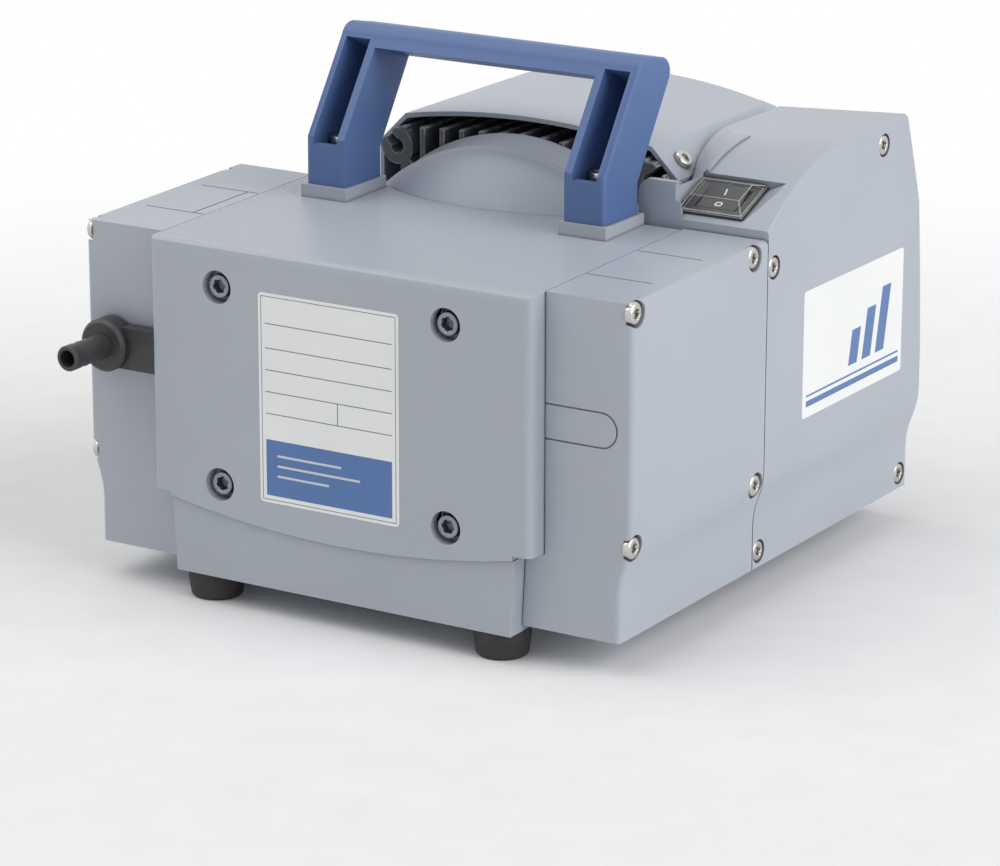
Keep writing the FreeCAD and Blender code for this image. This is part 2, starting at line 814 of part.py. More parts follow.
def make_rod(side):
    # Big end round its bearing, tapering shank with side hollows, flange and stud at the diaphragm
    y = head_centre(side).y
    pin_x = swing(side)
    flange_end = diaphragm_middle(side) - diaphragm_thickness / 2 - disc_thickness
    flange_start = flange_end - 3
    eye = cylinder("y", Vector(pin_x, y - rod_width / 2, axis_z), rod_eye_radius, rod_width)
    shank = prism([
        (pin_x, axis_z - 11), (flange_start + 1, axis_z - 7), (flange_start + 1, axis_z + 7), (pin_x,
                                                                                               axis_z + 11),
    ], "xz", y - rod_width / 2, rod_width)
    flange = cylinder("x", Vector(flange_start, y, axis_z), disc_radius - 4, 3)
    stud = cylinder("x", Vector(flange_end - 1, y, axis_z), stud_radius,
                    disc_thickness * 2 + diaphragm_thickness - 0.5)
    body = join([eye, shank, flange, stud])
    pin_x_hollow = pin_x + rod_eye_radius + 4
    hollow = [
        (pin_x_hollow, axis_z - 5), (flange_start - 5, axis_z - 3.5),
        (flange_start - 5, axis_z + 3.5), (pin_x_hollow, axis_z + 5),
    ]
    tools = [cylinder("y", Vector(pin_x, y - rod_width, axis_z), rod_bearing_radius, 2 * rod_width)]
    tools.append(prism(hollow, "xz", y - rod_width / 2 - 1, 3.5))
    tools.append(prism(hollow, "xz", y + rod_width / 2 - 2.5, 3.5))
    return on_side(body.cut(tools), side)


def bearing_ring(centre, bore, outer, width):
    # Inner and outer ring as one turned piece with the ball track's groove on both faces
    middle = (bore + outer) / 2
    groove = (outer - bore) * 0.16
    y0 = centre.y - width / 2
    y1 = centre.y + width / 2
    return turned([
        (bore, y0), (middle - groove, y0), (middle - groove, y0 + 1), (middle + groove, y0 + 1),
        (middle + groove, y0), (outer, y0), (outer, y1), (middle + groove, y1),
        (middle + groove, y1 - 1), (middle - groove, y1 - 1), (middle - groove, y1), (bore, y1),
    ], "y", Vector(centre.x, 0, centre.z))


def make_rod_bearing(side):
    centre = Vector(throw, head_centre(side).y, axis_z)
    return bearing_ring(centre, eccentric_radius + running_gap, rod_bearing_radius, rod_bearing_width)


def make_crankshaft():
    pin_start = back(crank_middle - rod_pitch / 2 - rod_bearing_width / 2) - 0.5
    pin_end = back(crank_middle + rod_pitch / 2 + rod_bearing_width / 2) + 0.5
    pin = cylinder("y", Vector(throw, pin_start, axis_z), eccentric_radius, pin_end - pin_start)
    retainer = cylinder("y", Vector(throw, pin_start - 2, axis_z), eccentric_radius + 2.5, 2)
    collar = cylinder("y", Vector(0, pin_end, axis_z), eccentric_radius + throw, 1.5)
    shaft = cylinder("y", Vector(0, pin_end, axis_z), shaft_radius, back(fan_start + fan_width) - pin_end)
    return join([retainer, pin, collar, shaft])


def weight_start():
    return back(crank_middle + rod_pitch / 2 + rod_bearing_width / 2) + 2


def make_counterweight():
    outer = weight_radius
    weight = prism([
        (0, axis_z - 13), (14, axis_z, 0, axis_z + 13), (-8, axis_z + outer * 0.96),
        (-outer, axis_z, -8, axis_z - outer * 0.96),
    ], "xz", weight_start(), weight_width)
    return weight.cut(cylinder("y", Vector(0, weight_start() - 1, axis_z), shaft_radius, weight_width + 2))


def make_front_bearing():
    centre = Vector(0, back(case_bearing_seat) + main_bearing_width / 2, axis_z)
    return bearing_ring(centre, shaft_radius + running_gap, main_bearing_radius, main_bearing_width)


# Motor

def make_motor_housing():
    length = motor_back - motor_front
    start = back(motor_front)
    core = cylinder("y", Vector(0, start, axis_z), core_radius, length)
    pieces = [core]
    count = int(channel_x / fin_pitch)
    for k in range(-count, count + 1):
        offset = k * fin_pitch
        pieces.append(box(offset - fin_width / 2, offset + fin_width / 2, start, start + length,
                          axis_z - fin_bottom, axis_z + fin_top - abs(offset) * 0.06))
        if abs(offset) < core_radius - fin_width:
            pieces.append(box(-fin_side, fin_side, start, start + length,
                              axis_z + offset - fin_width / 2, axis_z + offset + fin_width / 2))
    for x, z in tie_bolt_places():
        pieces.append(cylinder("y", Vector(x, start, z), channel_radius, length))
        web = box(-1.5, 1.5, start, start + length, 0, 30)
        web.rotate(Vector(0, 0, 0), Vector(0, 1, 0), math.degrees(math.atan2(-x, axis_z - z)))
        web.translate(Vector(x, 0, z))
        pieces.append(web)
    body = join(pieces).common(prism(shroud_outline(shroud_wall, axis_z - fin_bottom), "xz", start, length))
    tools = [cylinder("y", Vector(0, start - 1, axis_z), stator_radius, length + 2)]
    for x, z in tie_bolt_places():
        tools.append(cylinder("y", Vector(x, start - 1, z), tie_bolt_radius + 0.4, length + 2))
        mouth = box(-channel_mouth / 2, channel_mouth / 2, start - 1, start + length + 1, 0,
                    channel_radius + 4)
        mouth.rotate(Vector(0, 0, 0), Vector(0, 1, 0), math.copysign(45 if z > axis_z else 135, x))
        mouth.translate(Vector(x, 0, z))
        tools.append(mouth)
    return body.cut(tools)


def tie_bolt_places():
    low = fin_bottom - channel_radius
    return [(sign * channel_x, axis_z + height) for sign in (-1, 1) for height in (channel_z, -low)]


def make_stator_core():
    start = back(stack_start)
    core = cylinder("y", Vector(0, start, axis_z), stator_radius, stack_end - stack_start)
    return core.cut(cylinder("y", Vector(0, start - 1, axis_z), stator_bore, stack_end - stack_start + 2))


def make_windings():
    # The bundled wire ends that stand out of both sides of the stator
    inner = stator_bore + 3
    heads = []
    for start, step in ((back(stack_start), -1), (back(stack_end), 1)):
        end = start + step * winding_reach
        heads.append(turned([
            (inner, start), (inner, end - step * 3), ((inner + winding_radius) / 2, end, winding_radius,
                                                      end - step * 3),
            (winding_radius, start),
        ], "y", shaft_point))
    return heads


def make_rotor():
    radius = stator_bore - rotor_gap
    start = back(stack_start)
    end = back(stack_end)
    body = turned([
        (shaft_radius, start), (radius - 6, start), (radius - 6, start - 5), (radius - 1, start - 5),
        (radius - 1, start), (radius, start), (radius, end), (radius - 1, end), (radius - 1, end + 5),
        (radius - 6, end + 5), (radius - 6, end), (shaft_radius, end),
    ], "y", shaft_point)
    return body


def make_end_shield():
    start = back(motor_back)
    plate = box(-fin_side, fin_side, start, start + end_shield_thickness, axis_z - fin_bottom,
                axis_z + fin_top - 8)
    trim = []
    for sign in (-1, 1):
        trim.append(prism([
            (sign * (fin_side + 1), axis_z + channel_z + 1), (sign * (channel_x - 6), axis_z + fin_top + 1),
            (sign * (fin_side + 1), axis_z + fin_top + 1),
        ], "xz", start - 1, end_shield_thickness + 2))
    windows = []
    for k in range(6):
        window = cylinder("y", Vector(0, start - 1, axis_z), stator_radius - 4, end_shield_thickness + 2)
        window = window.cut(cylinder("y", Vector(0, start - 1, axis_z), end_hub_radius,
                                     end_shield_thickness + 2))
        wedge = prism([
            (0, axis_z), (70, axis_z - 24), (70, axis_z + 24),
        ], "xz", start - 1, end_shield_thickness + 2)
        wedge.rotate(shaft_point, Vector(0, 1, 0), 60 * k)
        windows.append(window.common(wedge))
    seat = cylinder("y", Vector(0, start - 1, axis_z), main_bearing_radius, end_shield_thickness - 1)
    hole = cylinder("y", Vector(0, start - 1, axis_z), shaft_hole_radius, end_shield_thickness + 2)
    bolts = [cylinder("y", Vector(x, start - 1, z), tie_bolt_radius + bolt_gap, end_shield_thickness + 2)
             for x, z in tie_bolt_places()]
    return plate.cut(trim + windows + [seat, hole] + bolts)


def make_rear_bearing():
    end = back(motor_back) + end_shield_thickness - 2
    return bearing_ring(Vector(0, end - main_bearing_width / 2, axis_z),
                        shaft_radius + running_gap, main_bearing_radius, main_bearing_width)


def make_tie_bolts():
    length = end_shield_thickness + tie_bolt_reach
    seat_y = back(motor_back) + end_shield_thickness
    return [screw(Vector(x, seat_y, z), Vector(0, -1, 0), tie_bolt_radius, length, 4.2, 3.4)
            for x, z in tie_bolt_places()]


def make_fan():
    # Radial fan: hub, back disc and blades that lean away from the turning direction
    start = back(fan_start)
    hub = cylinder("y", Vector(0, start, axis_z), fan_hub_radius, fan_width)
    disc = cylinder("y", Vector(0, start, axis_z), fan_radius - 8, 1.6)
    blades = []
    middle = (fan_hub_radius + fan_radius) / 2
    for k in range(blade_count):
        blade = prism([
            (fan_hub_radius - 2, 0), (middle, 6, fan_radius, 0),
            (fan_radius, blade_thickness), (middle, 6 + blade_thickness, fan_hub_radius - 2,
                                            blade_thickness),
        ], "xz", start, fan_width)
        blade.rotate(Vector(0, 0, 0), Vector(0, 1, 0), k * 360 / blade_count)
        blade.translate(shaft_point)
        blades.append(blade)
    fan = join([hub, disc] + blades)
    return fan.cut(cylinder("y", Vector(0, start - 1, axis_z), shaft_radius, fan_width + 2))


# Shroud and rear grille

def shroud_outline(inset, floor, rise=0.0):
    # Front view: low arch, corners slanted by 45 degrees and straight sides; a rise lifts the crown
    side = shroud_half_width - inset
    corner = shroud_corner_x - inset * 0.4
    shoulder = up(shroud_shoulder) - inset
    return [
        (-side, floor), (-side, up(shroud_corner_drop) - inset * 0.4), (-corner, shoulder),
        (0, up(shroud_crown) - inset + rise, corner, shoulder),
        (side, up(shroud_corner_drop) - inset * 0.4), (side, floor),
    ]


def shroud_body(inset, floor, margin):
    # Solid between the front and the rear outline, longer by the margin at both ends
    slope = shroud_rise / (shroud_back - shroud_front)
    wires = []
    for place, rise in ((shroud_front - margin, -margin * slope),
                        (shroud_back + margin, shroud_rise + margin * slope)):
        wire = face(shroud_outline(inset, floor, rise), "xz").OuterWire
        wire.translate(Vector(0, back(place), 0))
        wires.append(wire)
    return Part.makeLoft(wires, True, True)


def slant_screw(sign, row):
    # Seat of a screw on a slanted corner and the direction that points into the motor there
    middle_x = (shroud_half_width + shroud_corner_x) / 2 + shroud_screw_shift
    middle_z = (shroud_shoulder + shroud_corner_drop) / 2 - shroud_screw_shift
    inward = Vector(-sign, 0, -1).normalize()
    return Vector(sign * middle_x, back(row), up(middle_z)), inward


def make_shroud():
    tools = [shroud_body(shroud_wall, up(shroud_floor) - 1, 1.0)]
    for sign in (-1, 1):
        for row in shroud_screw_rows:
            seat, inward = slant_screw(sign, row)
            tools.append(Part.makeCylinder(shroud_screw[0] + bolt_gap, 8, seat - inward * 3, inward))
    return shroud_body(0.0, up(shroud_floor), 0.0).cut(tools)


def make_shroud_screws():
    screws = []
    for sign in (-1, 1):
        for row in shroud_screw_rows:
            seat, inward = slant_screw(sign, row)
            screws.append(screw(seat, inward, shroud_screw[0], 4.0, *shroud_screw[1:]))
    return screws


def make_rear_grille():
    start = back(shroud_back) + seam_gap
    rear = back(grille_back)
    high = up(shroud_crown) + shroud_rise - grille_step
    floor = up(shroud_floor)
    inside = start - seam_gap - 1.5
    length = rear - inside
    slope = prism([
        (inside, up(0)), (rear, up(0)), (rear, high - grille_slope),
        (inside + length * 0.6, high - 0.5 - grille_slope * 0.4, inside, high - 0.5),
    ], "yz", -half_width, body_width)
    outer = prism(shroud_outline(grille_step, floor, shroud_rise), "xz", inside, length).common(slope)
    inner = prism(shroud_outline(grille_step + shroud_wall, floor + 3, shroud_rise), "xz", inside - 1,
                  length - 1)
    low_slope = slope.copy()
    low_slope.translate(Vector(0, -1, -3))
    cover = outer.cut(inner.common(low_slope))
    collar_start = start - grille_collar
    collar = prism(shroud_outline(shroud_wall + 0.2, floor, shroud_rise), "xz", collar_start,
                   grille_collar - seam_gap)
    hole = prism(shroud_outline(grille_step + 0.8, floor + 3, shroud_rise), "xz", collar_start - 1,
                 grille_collar + 2)
    tools = []
    for k in range(slot_count):
        height = axis_z + (k - (slot_count - 1) / 2) * slot_pitch
        half = math.sqrt(max(fan_radius ** 2 - (height - axis_z) ** 2, 1))
        for sign in (-1, 1):
            x0, x1 = sorted((sign * 3.0, sign * half))
            tools.append(box(x0, x1, rear - 4, rear + 1, height - slot_width / 2, height + slot_width / 2))
    return join([cover.cut(tools), collar.cut(hole)])


# Electrics shell with the switch

def electrics_side(inset, front, floor, tilt=0.0):
    # Side view: arch that climbs from the front, long flat top, rounded rear corner and bulging back
    rear = head_depth + rear_depth - inset
    return [
        (back(front), floor), (back(rear - rear_undercut), floor), (back(rear - rear_undercut),
                                                                    up(undercut_low)),
        (back(rear), up(undercut_high)), (back(rear), up(rear_straight)),
        (back(rear - rear_bulge[0]), up(rear_bulge[1]), back(rear - rear_knee[0]), up(rear_knee[1])),
        (back(rear - rear_shoulder[0]), up(rear_shoulder[1]) - tilt / 2,
         back(rear - arch_back[0]), up(arch_back[1]) - inset - tilt),
        (back(arch_end[0]), up(arch_end[1]) - inset - tilt * 0.6),
        (back(arch_middle[0]) + inset * 0.5, up(arch_middle[1]) - inset * 0.9, back(front),
         up(arch_start) - inset * 1.2),
    ]


def electrics_body(inset, start_x, front, floor):
    # Solid between the outlines of the inner and the outer side, with the outer side stepped in at the bottom
    wires = []
    for x, tilt in ((start_x, arch_tilt), (half_width, 0.0)):
        wire = face(electrics_side(inset, front, floor, tilt), "yz").OuterWire
        wire.translate(Vector(x, 0, 0))
        wires.append(wire)
    side = prism(side_outline(inset, start_x, start_x, floor, up(arch_back[1]) + 2), "xz", back(front),
                 rear_depth + 1)
    return Part.makeLoft(wires, True, True).common(side)


def inner_hollow(margin):
    # Cutter for the sunk inner corner behind the front wall, ruled from the strip's crest to the inner side
    start = electrics_front + shell_wall
    top = up(arch_back[1]) + 10
    wires = []
    for x, profile, lift in (
        (electrics_inner + ridge_width + margin, ridge_top, 0.4), (wing_inner - 0.1, hollow_top, 0.0),
    ):
        (end_y, end_z), (middle_y, middle_z, low_y, low_z) = profile
        drop = margin * 1.3 - lift
        wire = face([
            (back(start - margin), top), (back(start - margin), up(low_z) - drop), (back(low_y),
                                                                                    up(low_z) - drop),
            (back(middle_y), up(middle_z) - drop, back(end_y), up(end_z) - drop), (back(end_y + 16),
                                                                                   up(end_z) + 1.5 - drop),
            (back(end_y + 16), top),
        ], "yz").OuterWire
        wire.translate(Vector(x, 0, 0))
        wires.append(wire)
    return Part.makeLoft(wires, True, True)


def seat_placement(rise):
    # Frame of the switch: x across, y up the slope, z out of the panel
    run = seat_high[0] - seat_low[0]
    climb = seat_high[1] - seat_low[1]
    angle = math.degrees(math.atan2(climb, run))
    middle = Vector(switch_x, back((seat_low[0] + seat_high[0]) / 2), up((seat_low[1] + seat_high[1]) / 2))
    turn = FreeCAD.Rotation(Vector(1, 0, 0), angle)
    return FreeCAD.Placement(middle + turn.multVec(Vector(0, 0, rise)), turn)


def placed(shape, rise=0.0):
    shape.Placement = seat_placement(rise).multiply(shape.Placement)
    return shape


def switch_recess(margin):
    # Cutter for the switch's seat, its outer flank sloped; with a margin it is the tray around the seat
    half = frame_width / 2 + seam_gap + margin
    end = frame_length / 2 + seam_gap + margin
    recess = prism([
        (-half, -margin), (half, -margin), (half + seat_flank, seat_flank_rise - margin), (half + seat_flank,
                                                                                           12),
        (-half, 12),
    ], "xz", -end, 2 * end)
    return placed(recess)


def make_electrics_shell():
    body = electrics_body(0.0, wing_inner, electrics_front, up(electrics_floor))

    def rear_edge(edge):
        crest = back(whole_depth - arch_back[0])
        return edge.BoundBox.XLength > 40 and abs(edge.BoundBox.YMax - crest) < 0.1 \
            and edge.BoundBox.ZMin > up(arch_end[1]) - 5

    body = rounded(body, rear_round, rear_edge)

    def outer_edge(edge):
        high = edge.BoundBox.ZMin > up(undercut_high) - 0.1
        return high and edge_at(edge, "x", half_width) and not edge_at(edge, "y", back(electrics_front))

    body = rounded(body, outer_round, outer_edge)
    under = up(electrics_floor) - 1
    motor_side = prism(shroud_outline(-0.2, under, shroud_rise), "xz", back(electrics_front) - 1,
                       rear_depth + 2)
    body = body.cut(motor_side)
    (end_y, end_z), rise = ridge_top
    ridge = prism(side_view([
        (electrics_front, wing_low), (end_y, wing_low), (end_y, end_z), rise, (electrics_front, wing_top),
    ]), "yz", electrics_inner, ridge_width)
    wing = prism([
        (wing_inner, up(wing_low)), (electrics_inner + ridge_width,
                                     up(wing_low)), (electrics_inner + ridge_width, up(wing_top)),
        (wing_inner + wing_round, up(wing_top)),
        (wing_inner + wing_round * 0.3, up(wing_top) - wing_round * 0.3, wing_inner,
         up(wing_top) - wing_round),
    ], "xz", back(electrics_front), shell_wall)
    envelope = join([body, ridge, wing])
    floor = up(electrics_floor) + shell_wall
    hollow = electrics_body(shell_wall, electrics_inner, electrics_front + shell_wall, floor)
    tray = switch_recess(shell_wall)
    shell = envelope.cut([hollow.cut([inner_hollow(shell_wall), tray]), inner_hollow(0.0)])
    bosses = []
    tools = []
    inner_face = electrics_inner + panel_thickness + seam_gap
    for distance, height in electrics_screws:
        start = Vector(inner_face, back(distance), up(height))
        outer = half_width - (undercut if height < undercut_low else 0)
        boss = cylinder("x", start, electrics_boss_radius, outer - inner_face - 1)
        bosses.append(boss.common(body))
        tools.append(cylinder("x", Vector(outer - electrics_sink_depth, start.y, start.z),
                              shell_screw[1] + 0.4, 8))
        tools.append(cylinder("x", Vector(electrics_inner - 1, start.y, start.z), shell_screw[0] + bolt_gap,
                              outer - electrics_inner + 2))
    shell = join([shell] + bosses)
    tools.append(switch_recess(0.0))
    wide = can_width + 0.6
    long = can_length + 0.6
    tools.append(placed(Part.makeBox(wide, long, 2 * shell_wall,
                                     Vector(-wide / 2, -long / 2, 1 - 2 * shell_wall))))
    for row in shroud_screw_rows:
        seat, inward = slant_screw(1, row)
        tools.append(Part.makeCylinder(shroud_screw[1] + 0.8, 15, seat, -inward))
    tools.append(box(inlet_x - inlet_width / 2 - seam_gap, inlet_x + inlet_width / 2 + seam_gap,
                     back(head_depth + rear_depth) - shell_wall - 4, back(head_depth + rear_depth) + 1,
                     up(inlet_z) - inlet_height / 2 - seam_gap, up(inlet_z) + inlet_height / 2 + seam_gap))
    return shell.cut(tools)


def make_electrics_screws():
    screws = []
    for distance, height in electrics_screws:
        outer = half_width - (undercut if height < undercut_low else 0)
        seat = Vector(outer - electrics_sink_depth, back(distance), up(height))
        screws.append(screw(seat, Vector(-1, 0, 0), shell_screw[0], seat.x - electrics_inner - 0.2,
                            *shell_screw[1:]))
    return screws


def make_electrics_panel():
    floor = up(electrics_floor) + shell_wall + seam_gap
    outline = electrics_side(shell_wall + seam_gap, electrics_front + shell_wall + seam_gap, floor,
                             arch_tilt)
    inner = prism(outline, "yz", electrics_inner, panel_thickness).cut(inner_hollow(shell_wall + seam_gap))
    tools = [cylinder("x", Vector(electrics_inner - 1, back(distance), up(height)),
                      shell_screw[0] + bolt_gap, 4)
             for distance, height in electrics_screws]
    return inner.cut(tools)


def make_capacitor():
    x = electrics_inner + panel_thickness + capacitor_radius
    y0 = back(electrics_front + 30)
    z = up(electrics_floor + shell_wall) + capacitor_radius + 0.2
    can = turned([
        (0, y0), (capacitor_radius - 1, y0), (capacitor_radius, y0 + 1), (capacitor_radius,
                                                                          y0 + capacitor_length - 2),
        (capacitor_radius - 2, y0 + capacitor_length), (0, y0 + capacitor_length),
    ], "y", Vector(x, 0, z))
    tabs = [box(x + side * 5 - 0.4, x + side * 5 + 0.4, y0 + capacitor_length - 1, y0 + capacitor_length + 8,
                z - 3, z + 3)
            for side in (-1, 1)]
    return join([can] + tabs)


def make_power_inlet():
    rear = back(head_depth + rear_depth)
    z = up(inlet_z)
    body = box(inlet_x - inlet_width / 2, inlet_x + inlet_width / 2, rear - 20, rear,
               z - inlet_height / 2, z + inlet_height / 2)
    socket = box(inlet_x - socket_width / 2, inlet_x + socket_width / 2, rear - socket_depth, rear + 1,
                 z - socket_height / 2, z + socket_height / 2)
    body = body.cut(socket)
    pins = []
    for x, dz in ((-7, -2), (0, 2), (7, -2)):
        pins.append(box(inlet_x + x - 1, inlet_x + x + 1, rear - socket_depth - 1,
                        rear - socket_depth + pin_length,
                        z + dz - 2, z + dz + 2))
    return join([body] + pins)


def make_switch_frame():
    flange = slab(frame_width, frame_length, 0, frame_flange)
    can = slab(can_width, can_length, -frame_depth, 0.5)
    well = slab(can_width - 2 * can_wall, can_length - 2 * can_wall, can_wall - frame_depth,
                frame_flange + 1)
    pivot = Part.makeCylinder(rocker_pivot_radius + running_gap, can_width,
                              Vector(-can_width / 2, 0, rocker_pivot_height), Vector(1, 0, 0))
    return placed(join([flange, can]).cut([well, pivot]))


def make_rocker():
    # Button with a shallow V top on a pin that turns in the frame; it rests with its front half down
    half = rocker_length / 2
    low = rocker_pivot_height - 3.6
    high = frame_flange + rocker_rise
    button = prism([
        (-half, low + 1.5), (-half + 2, low), (half - 2, low), (half, low + 1.5), (half, high),
        (0, high - 1.2), (-half, high),
    ], "yz", -rocker_width / 2, rocker_width)
    pin = Part.makeCylinder(rocker_pivot_radius, can_width - 0.6,
                            Vector(0.3 - can_width / 2, 0, rocker_pivot_height),
                            Vector(1, 0, 0))
    button = join([button, pin])
    button.rotate(Vector(0, 0, rocker_pivot_height), Vector(1, 0, 0), rocker_tilt)
    return placed(button)


def make_switch_cap():
    # Clear splash cap with bevelled sides, open below
    def layers(inset, foot):
        wide = frame_width / 2 - cap_margin - inset
        long = frame_length / 2 - cap_margin - inset
        return Part.makeLoft([
            rectangle(wide, long, frame_flange + foot),
            rectangle(wide - 0.3, long - 0.3, frame_flange + cap_land - inset * 0.3),
            rectangle(wide - cap_run_side, long - cap_run_end, frame_flange + cap_height - inset),
        ], True, True)

    return placed(layers(0, 0).cut(layers(cap_wall, -1)))


def slab(wide, long, low, high):
    return Part.makeBox(wide, long, high - low, Vector(-wide / 2, -long / 2, low))


def rectangle(half_wide, half_long, z):
    corners = [Vector(sx * half_wide, sy * half_long, z) for sx, sy in ((-1, -1), (1, -1), (1, 1), (-1, 1))]
    return Part.makePolygon(corners + corners[:1])


# Handle

def on_line(first, last, height):
    # Side view point on a line at a height
    share = (height - first[1]) / (last[1] - first[1])
    return first[0] + share * (last[0] - first[0]), height


def make_handle():
    # Two leaning legs, open towards the front between their flanges, and a bar across their tops
    leg_side = side_view([
        (leg_front, knee_front), (leg_front, pad_height), (leg_back, pad_height), (leg_back, knee_back),
    ] + bar_top)
    low_front = on_line((leg_front, knee_front), bar_top[-1][-2:], bar_low_front)
    low_back = on_line((leg_back, knee_back), bar_top[0], bar_low_back)
    bar_side = side_view([low_front, low_back] + bar_top)
    pocket_back = leg_back - pocket_wall
    pocket_side = side_view([
        (leg_front - 4, pocket_lip), (leg_front + pocket_wall, pocket_lip), (leg_front + pocket_wall,
                                                                             pocket_floor),
        (pocket_back, pocket_floor), (pocket_back, knee_back + 1), (low_back[0] - pocket_wall,
                                                                    low_back[1] + 1),
        low_front, (low_front[0] - 4, low_front[1] + 1), (leg_front - 4, knee_front),
    ])
    legs = [prism(leg_side, "yz", x0, leg_width) for x0 in (-handle_half_width,
                                                            handle_half_width - leg_width)]
    body = join(legs + [prism(bar_side, "yz", -handle_half_width, 2 * handle_half_width)])

    def outer_edge(edge):
        at_side = edge_at(edge, "x", handle_half_width) or edge_at(edge, "x", -handle_half_width)
        return at_side and edge.BoundBox.ZMax > up(pad_height) + 1

    body = rounded(body, handle_round, outer_edge)
    tools = []
    for sign in (-1, 1):
        x = sign * (handle_half_width - leg_width / 2)
        tools.append(prism(pocket_side, "yz", x - leg_width / 2 + pocket_wall, leg_width - 2 * pocket_wall))
        tools.append(cylinder("z", Vector(x, back((leg_front + leg_back) / 2), up(pad_height) - 1),
                              handle_screw[0] + bolt_gap, pocket_floor - pad_height + 2))
    return body.cut(tools)


def make_handle_screws():
    shank = pocket_floor - pad_height + handle_thread - 1
    middle = (leg_front + leg_back) / 2
    return [screw(Vector(sign * (handle_half_width - leg_width / 2), back(middle), up(pocket_floor)),
                  Vector(0, 0, -1), handle_screw[0], shank, *handle_screw[1:])
            for sign in (-1, 1)]


# Feet, base plate and ports

def foot_places():
    return [(sign * foot[0], back(foot[1])) for foot in (front_foot, rear_foot) for sign in (-1, 1)]


def make_feet():
    feet = []
    for x, y in foot_places():
        feet.append(turned([
            (foot_screw[0] + bolt_gap, 5), (foot_screw[0] + bolt_gap, foot_height), (foot_radius,
                                                                                     foot_height),
            (foot_radius, foot_height - 4), (foot_radius - foot_taper, 1), (foot_radius - foot_taper - 1, 0),
            (foot_screw[1] + 1, 0), (foot_screw[1] + 1, 5),
        ], "z", Vector(x, y, 0)))
    return feet


def make_foot_screws():
    screws = []
    for x, y in foot_places():
        long = y < back(case_back)
        length = foot_height - 5 + (foot_thread - 1 if long else plate_thickness + 2)
        screws.append(screw(Vector(x, y, 5), Vector(0, 0, 1), foot_screw[0], length, *foot_screw[1:]))
    return screws


def make_base_plate():
    # Sheet under the motor with two cradles that carry its bottom fins
    front = back(case_back) + seam_gap
    plate = box(-plate_half_width, plate_half_width, front, back(plate_back), up(0), up(plate_thickness))
    floor = up(plate_thickness) - 0.5
    rest = axis_z - fin_bottom
    cradles = [box(-plate_half_width + 8, plate_half_width - 8, y, y + cradle_width, floor, rest)
               for y in (back(motor_front + 8), back(motor_back - 8 - cradle_width))]
    tools = [cylinder("z", Vector(sign * rear_foot[0], back(rear_foot[1]), up(0) - 1),
                      foot_screw[0] + bolt_gap, 8)
             for sign in (-1, 1)]
    return join([plate] + cradles).cut(tools)


def nozzle_profile(start, end):
    # Hose nozzle along Y: barbs that slope towards the open tip, and a plain land at the tip itself
    step = 1 if end > start else -1
    points = [(nozzle_bore, start), (nozzle_radius, start)]
    for k in range(barb_count):
        here = end - step * (tip_land + (barb_count - 1 - k) * barb_pitch)
        points.append((nozzle_radius - barb_depth, here))
        points.append((nozzle_radius, here))
    points.append((nozzle_radius, end - step * tip_bevel))
    points.append((nozzle_radius - tip_bevel, end))
    points.append((nozzle_bore, end))
    return points


def make_inlet_elbow():
    # Moulded block that comes round the housing's side, swivel collar and the stem through the slot
    centre = Vector(-inlet_axis_x, 0, up(inlet_axis_z))
    block = box(-inlet_axis_x, -half_block - seam_gap, back(-block_front), back(-seam_gap), up(block_low),
                up(block_top))
    collar = turned([
        (0, back(-collar_length - 1)), (collar_radius - 1.2, back(-collar_length - 1)),
        (collar_radius, back(-collar_length + 0.4)), (collar_radius, back(-1.6)),
        (collar_radius - 1.2, back(-seam_gap)), (0, back(-seam_gap)),
    ], "y", centre)
    reach = math.sqrt(head_radius ** 2 - (up(inlet_axis_z) - axis_z) ** 2)
    stem_end = head_centre("left").y - reach + 6
    stem = cylinder("y", Vector(-pipe_x, back(-1), up(inlet_axis_z) - 0), stem_radius - 1,
                    stem_end - back(-1))
    return join([block, collar, stem]).cut(cylinder("y", Vector(-pipe_x, back(-6), up(inlet_axis_z)),
                                                    pipe_bore, 60))


def make_inlet_nozzle():
    start = back(-collar_length - 1)
    return turned(nozzle_profile(start, back(-hose_reach)), "y", Vector(-inlet_axis_x, 0, up(inlet_axis_z)))


def make_outlet_elbow():
    centre = Vector(-inlet_axis_x, 0, up(inlet_axis_z))
    start = back(head_depth)
    collar = turned([
        (0, start), (collar_radius - 1.2, start), (collar_radius, start + 1.4),
        (collar_radius, start + collar_length - 0.4), (collar_radius - 1.2,
                                                       start + collar_length), (0, start + collar_length),
    ], "y", centre)
    reach = math.sqrt(head_radius ** 2 - (up(inlet_axis_z) - axis_z) ** 2)
    stem_start = head_centre("left").y + reach - 6
    stem = cylinder("y", Vector(-pipe_x, stem_start, up(inlet_axis_z)), stem_radius - 1,
                    start + 1 - stem_start)
    return join([collar, stem]).cut(cylinder("y", Vector(-pipe_x, stem_start - 1, up(inlet_axis_z)),
                                             pipe_bore, 20))


def make_outlet_nozzle():
    start = back(head_depth) + collar_length
    return turned(nozzle_profile(start, start + hose_reach - collar_length - 1.0), "y",
                  Vector(-inlet_axis_x, 0, up(inlet_axis_z)))


